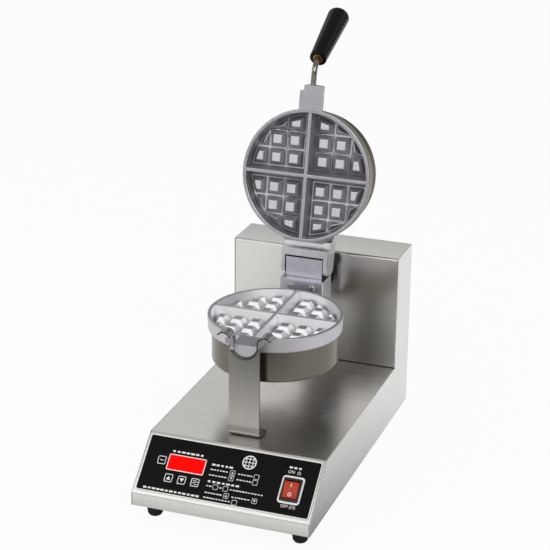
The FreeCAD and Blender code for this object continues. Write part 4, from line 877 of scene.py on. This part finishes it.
def spun_stainless(name, middle, axis, glance):
    """Spun stainless pan: lines run round the axis, and heat has given it a faint straw tint. The last tint
    is what it mirrors at a glance, near its outline."""
    material, tree, join = new_finish(name, Metallic=1.0, Anisotropic=0.6, Specular_Tint=linear(glance))
    place = add(tree, "ShaderNodeTexCoord").outputs["Object"]
    arm = add(tree, "ShaderNodeVectorMath", {0: place, 1: middle}, operation="SUBTRACT")
    along = add(tree, "ShaderNodeVectorMath", {0: arm, 1: axis}, operation="DOT_PRODUCT")
    whole = add(tree, "ShaderNodeVectorMath", {0: arm}, operation="LENGTH")
    pair = add(tree, "ShaderNodeCombineXYZ", {"X": along, "Y": whole})
    lines = add(tree, "ShaderNodeTexNoise", {"Vector": pair, "Scale": 1 / GRAIN_WIDTH, "Detail": 3.0})
    heat = add(tree, "ShaderNodeTexNoise", {"Vector": place, "Scale": 1 / CLOUD, "Detail": 2.0})
    shade = add(tree, "ShaderNodeMapRange", {"Value": lines, FROM: GRAIN_BAND})
    tint = add(tree, "ShaderNodeMix", {0: shade, 6: linear(PAN_DARK), 7: linear(PAN_LIGHT)}, data_type="RGBA")
    tint = add(tree, "ShaderNodeMix", {0: heat, 6: tint, 7: linear(STRAW)}, data_type="RGBA")
    rough = add(tree, "ShaderNodeMapRange", {"Value": lines, FROM: GRAIN_BAND, TO: (0.24, 0.27)})
    normal = add(tree, "ShaderNodeNewGeometry").outputs["Normal"]
    round_it = add(tree, "ShaderNodeVectorMath", {0: axis, 1: arm}, operation="CROSS_PRODUCT")
    round_it = add(tree, "ShaderNodeVectorTransform", {"Vector": round_it}, vector_type="VECTOR",
                   convert_from="OBJECT", convert_to="WORLD")
    side = add(tree, "ShaderNodeVectorMath", {0: normal, 1: round_it}, operation="CROSS_PRODUCT")
    join("Base Color", tint)
    join("Roughness", rough)
    join("Tangent", side)
    return material


lower_pan = spun_stainless("spun_stainless_lower", plate_middle, UPWARD, "#FFFFFF")
upper_pan = spun_stainless("spun_stainless_upper", lid_middle, lid_axis, "#C6C2B8")
dress("lower_shell", 0.3 * MM, "lower_plate", "spun_stainless", lower_pan)
dress("upper_shell", 0.3 * MM, "lid", "spun_stainless", upper_pan)
dress("lower_shell_bolt", 0.4 * MM, "lower_plate", "steel_fastener", screw_steel)
dress("upper_shell_bolt", 0.4 * MM, "lid", "steel_fastener", screw_steel)

# Heaters inside the pans
# A sheathed element lies in a groove behind each grid under a steel clamp, with a sensor bulb and a pad of
# mineral wool. None of it shows once the pans are on.
WOOL_FIBRE = 1.5 * MM
sheath = plated_steel("oxidised_heater_sheath", "#4A433C", "#756A5C", 0.5)
wool = moulded("mineral_wool_pad", "#A89F77", "#CFC79F", 0.9, WOOL_FIBRE, 0.4 * MM)
for half in ("lower", "upper"):
    keep(half + "_element", sheath)
    keep(half + "_element_clamp", core_steel)
    keep(half + "_insulation", wool)
    keep(half + "_sensor", shaft_steel)

# Rear hinge
# A machined aluminium block, screwed to the lower casting, has a tongue that the yoke on the lid straddles.
# A steel pin runs through both, and a shoulder on the tongue stops the lid when it stands open.
SCRATCH_LENGTH = 9 * MM
SCRATCH_WIDTH = 0.5 * MM
SCRATCH_BAND = (0.35, 0.65)
TONGUE_HALF = 28.3 * MM
TONGUE_RISE = 7.8 * MM
TONGUE_DROP = 24 * MM
# A painted shadow frames the tongue's gaps to the yoke and the block; this is its width and its colour.
GAP_SHADE_WIDTH = 1.4 * MM
GAP_SHADE = "#1C1B1D"


def machined_aluminium(name, dark, light, scratch, gap_shaded=False):
    """Milled aluminium: a satin grey with short fine tool lines. A painted shadow can frame the tongue."""
    material, tree, join = new_finish(name, Metallic=1.0)
    place = add(tree, "ShaderNodeTexCoord").outputs["Object"]
    scale = [1 / SCRATCH_LENGTH if abs(part) > ALONG_GRAIN else 1 / SCRATCH_WIDTH for part in scratch]
    drawn = add(tree, "ShaderNodeMapping", {"Vector": place, "Scale": scale})
    lines = add(tree, "ShaderNodeTexNoise", {"Vector": drawn, "Scale": 1.0, "Detail": 4.0})
    cut = add(tree, "ShaderNodeMapRange", {"Value": lines, FROM: SCRATCH_BAND})
    tint = add(tree, "ShaderNodeMix", {0: cut, 6: linear(dark), 7: linear(light)}, data_type="RGBA")
    if gap_shaded:
        # Painted shadow along the tongue's sides and top, and streaked along its foot.
        top = pin.z + TONGUE_RISE - GAP_SHADE_WIDTH
        foot = pin.z - TONGUE_DROP
        apart = add(tree, "ShaderNodeSeparateXYZ", {"Vector": place}).outputs
        width = add(tree, "ShaderNodeMath", {0: apart["X"]}, operation="ABSOLUTE")
        rims = add(tree, "ShaderNodeMapRange", {"Value": width, FROM: (TONGUE_HALF - GAP_SHADE_WIDTH,
                                                                       TONGUE_HALF - GAP_SHADE_WIDTH / 2)})
        crown = add(tree, "ShaderNodeMapRange", {"Value": apart["Z"], FROM: (top - GAP_SHADE_WIDTH, top)})
        ledge = add(tree, "ShaderNodeMapRange", {"Value": apart["Z"],
                                                 FROM: (foot + GAP_SHADE_WIDTH, foot + GAP_SHADE_WIDTH / 2)})
        ledge = add(tree, "ShaderNodeMath", {0: ledge, 1: cut}, operation="MULTIPLY")
        above = add(tree, "ShaderNodeMath", {0: apart["Z"], 1: foot}, operation="GREATER_THAN")
        border = add(tree, "ShaderNodeMath", {0: rims, 1: crown}, operation="MAXIMUM")
        border = add(tree, "ShaderNodeMath", {0: border, 1: ledge}, operation="MAXIMUM")
        border = add(tree, "ShaderNodeMath", {0: border, 1: above}, operation="MULTIPLY")
        tint = add(tree, "ShaderNodeMix", {0: border, 6: tint, 7: linear(GAP_SHADE)}, data_type="RGBA")
    rough = add(tree, "ShaderNodeMapRange", {"Value": lines, TO: (0.26, 0.42)})
    bump = add(tree, "ShaderNodeBump", {"Height": lines, "Strength": 0.15, "Distance": 0.03 * MM})
    join("Base Color", tint)
    join("Roughness", rough)
    join("Normal", bump)
    return material


block_metal = machined_aluminium("milled_aluminium_block", "#CDCBD4", "#E4E2E9", ACROSS, gap_shaded=True)
yoke_metal = machined_aluminium("milled_aluminium_yoke", "#D8D6DB", "#EDECEE", ACROSS)
dress("hinge_block", 0.5 * MM, "lower_plate", "machined_aluminium", block_metal)
dress("hinge_yoke", 0.7 * MM, "lid", "machined_aluminium", yoke_metal)
dress("hinge_pin", 0.4 * MM, "lower_plate", "steel_fastener", shaft_steel)
dress("yoke_bolts", 0.5 * MM, "lid", "steel_fastener", screw_steel)

# Handle
# A bent steel rod, chromed to a clear mirror with a faint haze, is screwed into the lid's ear. A brass
# ferrule closes the mouth of the grip, which is moulded from black phenolic resin and polished.
CHROME_HAZE = 7 * MM
CHROME_ROUGHNESS = 0.105
CHROME_GLOSS = 0.055
PHENOLIC_FLOW = 9 * MM
phenolic = moulded("polished_phenolic", "#060607", "#0D0D0E", 0.1, PHENOLIC_FLOW, 0.01 * MM, shine=0.15)
brass = plated_steel("turned_brass", "#7E6532", "#AC8D50", 0.24)
chrome = mottled("chromed_rod_steel", "#6A665E", "#98948A", CHROME_ROUGHNESS, CHROME_GLOSS, CHROME_HAZE, 2.0,
                 Metallic=1.0)
dress("handle_rod", 0.2 * MM, "lid", "chromed_rod", chrome)
dress("handle_ferrule", 0.3 * MM, "lid", "brass_ferrule", brass)
dress("handle_grip", 0.3 * MM, "lid", "phenolic_grip", phenolic)

# Floor, light and camera
# A plain white sweep under soft studio light. What the metal mirrors is graded: a wall behind the object that
# dims towards its foot, a pale strip at eye height in front, a dim room above both, and a floor that falls
# off to the front, stays bright at the left and is shaded close to the base.
FLOOR_HALF = 15.0
WHITE = linear("#FFFFFF")
MATT = linear("#F4F4F4")
FADE_FAR = 0.42
FADE_NEAR = 0.12
FADE_LEVEL = 0.06
BRIGHT_LEFT = -0.3
BRIGHT_FADE = 0.1
SIDE_REACH = 0.16
FRONT_REACH = 0.07
SHADE_LEVEL = 0.1
SHADE_LENGTH = 0.55
MIRRORED_SHARE = 0.85
CAMERA_SHARE = 0.94
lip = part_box("base_wrap")[0].y
base_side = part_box("base_wrap")[1].x


def ray_kinds(tree):
    """What kind of ray is looking, and whether it comes off metal or through glass."""
    rays = add(tree, "ShaderNodeLightPath").outputs
    mirrored = add(tree, "ShaderNodeMath", {0: rays["Is Glossy Ray"], 1: rays["Is Transmission Ray"]},
                   operation="MAXIMUM")
    return rays, mirrored


def studio_floor():
    """Matt white floor that keeps the shadow, white to the camera and graded to what mirrors it."""
    material = bpy.data.materials.new("studio_floor")
    material.use_nodes = True
    tree = material.node_tree
    tree.nodes.clear()
    rays, mirrored = ray_kinds(tree)
    place = add(tree, "ShaderNodeTexCoord").outputs["Object"]
    apart = add(tree, "ShaderNodeSeparateXYZ", {"Vector": place}).outputs
    ahead = add(tree, "ShaderNodeMapRange", {"Value": apart["Y"], FROM: (lip - FADE_FAR, lip - FADE_NEAR),
                                             "To Min": FADE_LEVEL})
    aside = add(tree, "ShaderNodeMapRange", {"Value": apart["X"],
                                             FROM: (BRIGHT_LEFT + BRIGHT_FADE, BRIGHT_LEFT)})
    falling = add(tree, "ShaderNodeMath", {0: ahead, 1: aside}, operation="MAXIMUM")
    width = add(tree, "ShaderNodeMath", {0: apart["X"]}, operation="ABSOLUTE")
    past = add(tree, "ShaderNodeMath", {0: width, 1: base_side}, operation="SUBTRACT")
    past = add(tree, "ShaderNodeMath", {0: past, 1: SIDE_REACH}, operation="DIVIDE")
    before = add(tree, "ShaderNodeMath", {0: lip, 1: apart["Y"]}, operation="SUBTRACT")
    before = add(tree, "ShaderNodeMath", {0: before, 1: FRONT_REACH}, operation="DIVIDE")
    away = add(tree, "ShaderNodeMath", {0: past, 1: before}, operation="MAXIMUM")
    least = add(tree, "ShaderNodeMapRange", {"Value": apart["Y"], FROM: (lip, lip + SHADE_LENGTH),
                                             "To Min": SHADE_LEVEL})
    shaded = add(tree, "ShaderNodeMapRange", {"Value": away, "To Min": least})
    falling = add(tree, "ShaderNodeMath", {0: falling, 1: shaded}, operation="MULTIPLY")
    strength = add(tree, "ShaderNodeMix", {0: mirrored, 2: 1.0, 3: falling})
    part = add(tree, "ShaderNodeMath", {0: mirrored, 1: MIRRORED_SHARE}, operation="MULTIPLY")
    share = add(tree, "ShaderNodeMix", {0: rays["Is Camera Ray"], 2: part, 3: CAMERA_SHARE})
    matt = add(tree, "ShaderNodeBsdfDiffuse", {"Color": MATT})
    white = add(tree, "ShaderNodeEmission", {"Color": WHITE, "Strength": strength})
    mixed = add(tree, "ShaderNodeMixShader", {0: share, 1: matt, 2: white})
    add(tree, "ShaderNodeOutputMaterial", {"Surface": mixed})
    return material


floor_mesh = bpy.data.meshes.new("studio_floor")
corners = [(x * FLOOR_HALF, y * FLOOR_HALF, 0) for x, y in ((-1, -1), (1, -1), (1, 1), (-1, 1))]
floor_mesh.from_pydata(corners, [], [(0, 1, 2, 3)])
floor_mesh.materials.append(studio_floor())
new_piece("studio_floor", floor_mesh)

# Directions run from -1 to 1: Y to the back and Z up.
ROOM_RISE = (0.35, 0.8)
ROOM_LEVELS = (0.3, 0.45)
WALL_REACH = (0.0, 0.6)
WALL_TOP = (0.72, 0.45)
WALL_FOOT = (0.28, 0.46)
FOOT_LEVEL = 0.1
WALL_LEVEL = 0.68
STRIP_REACH = (-0.4, -0.85)
STRIP_TOP = (0.34, 0.06)
STRIP_LEVEL = 0.8
ROOM_LIGHT = 0.55
world = bpy.data.worlds.new("studio")
bpy.context.scene.world = world
world.use_nodes = True
sky = world.node_tree
sky.nodes.clear()
rays, mirrored = ray_kinds(sky)
way = add(sky, "ShaderNodeTexCoord").outputs["Generated"]
way = add(sky, "ShaderNodeSeparateXYZ", {"Vector": way}).outputs


def lit_patch(reach, top):
    """Share of a pale patch of the room: it sets in along Y over its reach, and ends towards its top."""
    toward = add(sky, "ShaderNodeMapRange", {"Value": way["Y"], FROM: reach})
    under = add(sky, "ShaderNodeMapRange", {"Value": way["Z"], FROM: top})
    return add(sky, "ShaderNodeMath", {0: toward, 1: under}, operation="MULTIPLY")


level = add(sky, "ShaderNodeMapRange", {"Value": way["Z"], FROM: ROOM_RISE, TO: ROOM_LEVELS})
foot = add(sky, "ShaderNodeMapRange", {"Value": way["Z"], FROM: WALL_FOOT, "To Min": FOOT_LEVEL})
wall = add(sky, "ShaderNodeMath", {0: lit_patch(WALL_REACH, WALL_TOP), 1: foot}, operation="MULTIPLY")
strip = lit_patch(STRIP_REACH, STRIP_TOP)
for patch, strength in ((wall, WALL_LEVEL), (strip, STRIP_LEVEL)):
    level = add(sky, "ShaderNodeMath", {0: patch, 1: strength, 2: level}, operation="MULTIPLY_ADD")
level = add(sky, "ShaderNodeMix", {0: mirrored, 2: ROOM_LIGHT, 3: level})
level = add(sky, "ShaderNodeMix", {0: rays["Is Camera Ray"], 2: level, 3: 1.0})
background = add(sky, "ShaderNodeBackground", {"Color": WHITE, "Strength": level})
add(sky, "ShaderNodeOutputWorld", {"Surface": background})

LIGHT_AIM = Vector((0, 0, 0.25))


def softbox(name, place, width, height, power):
    lamp = bpy.data.lights.new(name, "AREA")
    lamp.shape = "RECTANGLE"
    lamp.size = width
    lamp.size_y = height
    lamp.energy = power
    holder = bpy.data.objects.new(name, lamp)
    holder.location = place
    holder.rotation_euler = (LIGHT_AIM - Vector(place)).to_track_quat("-Z", "Y").to_euler()
    bpy.context.scene.collection.objects.link(holder)


softbox("front_softbox", (-0.3, -1.8, 1.85), width=2.4, height=0.7, power=12)
softbox("key_softbox", (2.0, -2.2, 2.4), width=2.0, height=1.6, power=30)
softbox("left_softbox", (-2.6, -1.0, 1.6), width=1.4, height=1.8, power=14)

# The camera stands where the photograph's did, measured from the front lip.
CAMERA_PLACE = (0.7663, lip - 1.9362, 1.1805)
CAMERA_AZIMUTH = math.radians(19.64)
CAMERA_ELEVATION = math.radians(21.17)
CAMERA_ROLL = math.radians(0.59)
SENSOR_WIDTH = 36.0
LENS = 116.4
camera_data = bpy.data.cameras.new("photo_camera")
camera_data.sensor_width = SENSOR_WIDTH
camera_data.lens = LENS
camera = bpy.data.objects.new("photo_camera", camera_data)
aim = Matrix.Rotation(CAMERA_AZIMUTH, 4, "Z") @ Matrix.Rotation(math.pi / 2 - CAMERA_ELEVATION, 4, "X")
camera.matrix_world = Matrix.Translation(CAMERA_PLACE) @ aim @ Matrix.Rotation(CAMERA_ROLL, 4, "Z")
bpy.context.scene.collection.objects.link(camera)
bpy.context.scene.camera = camera
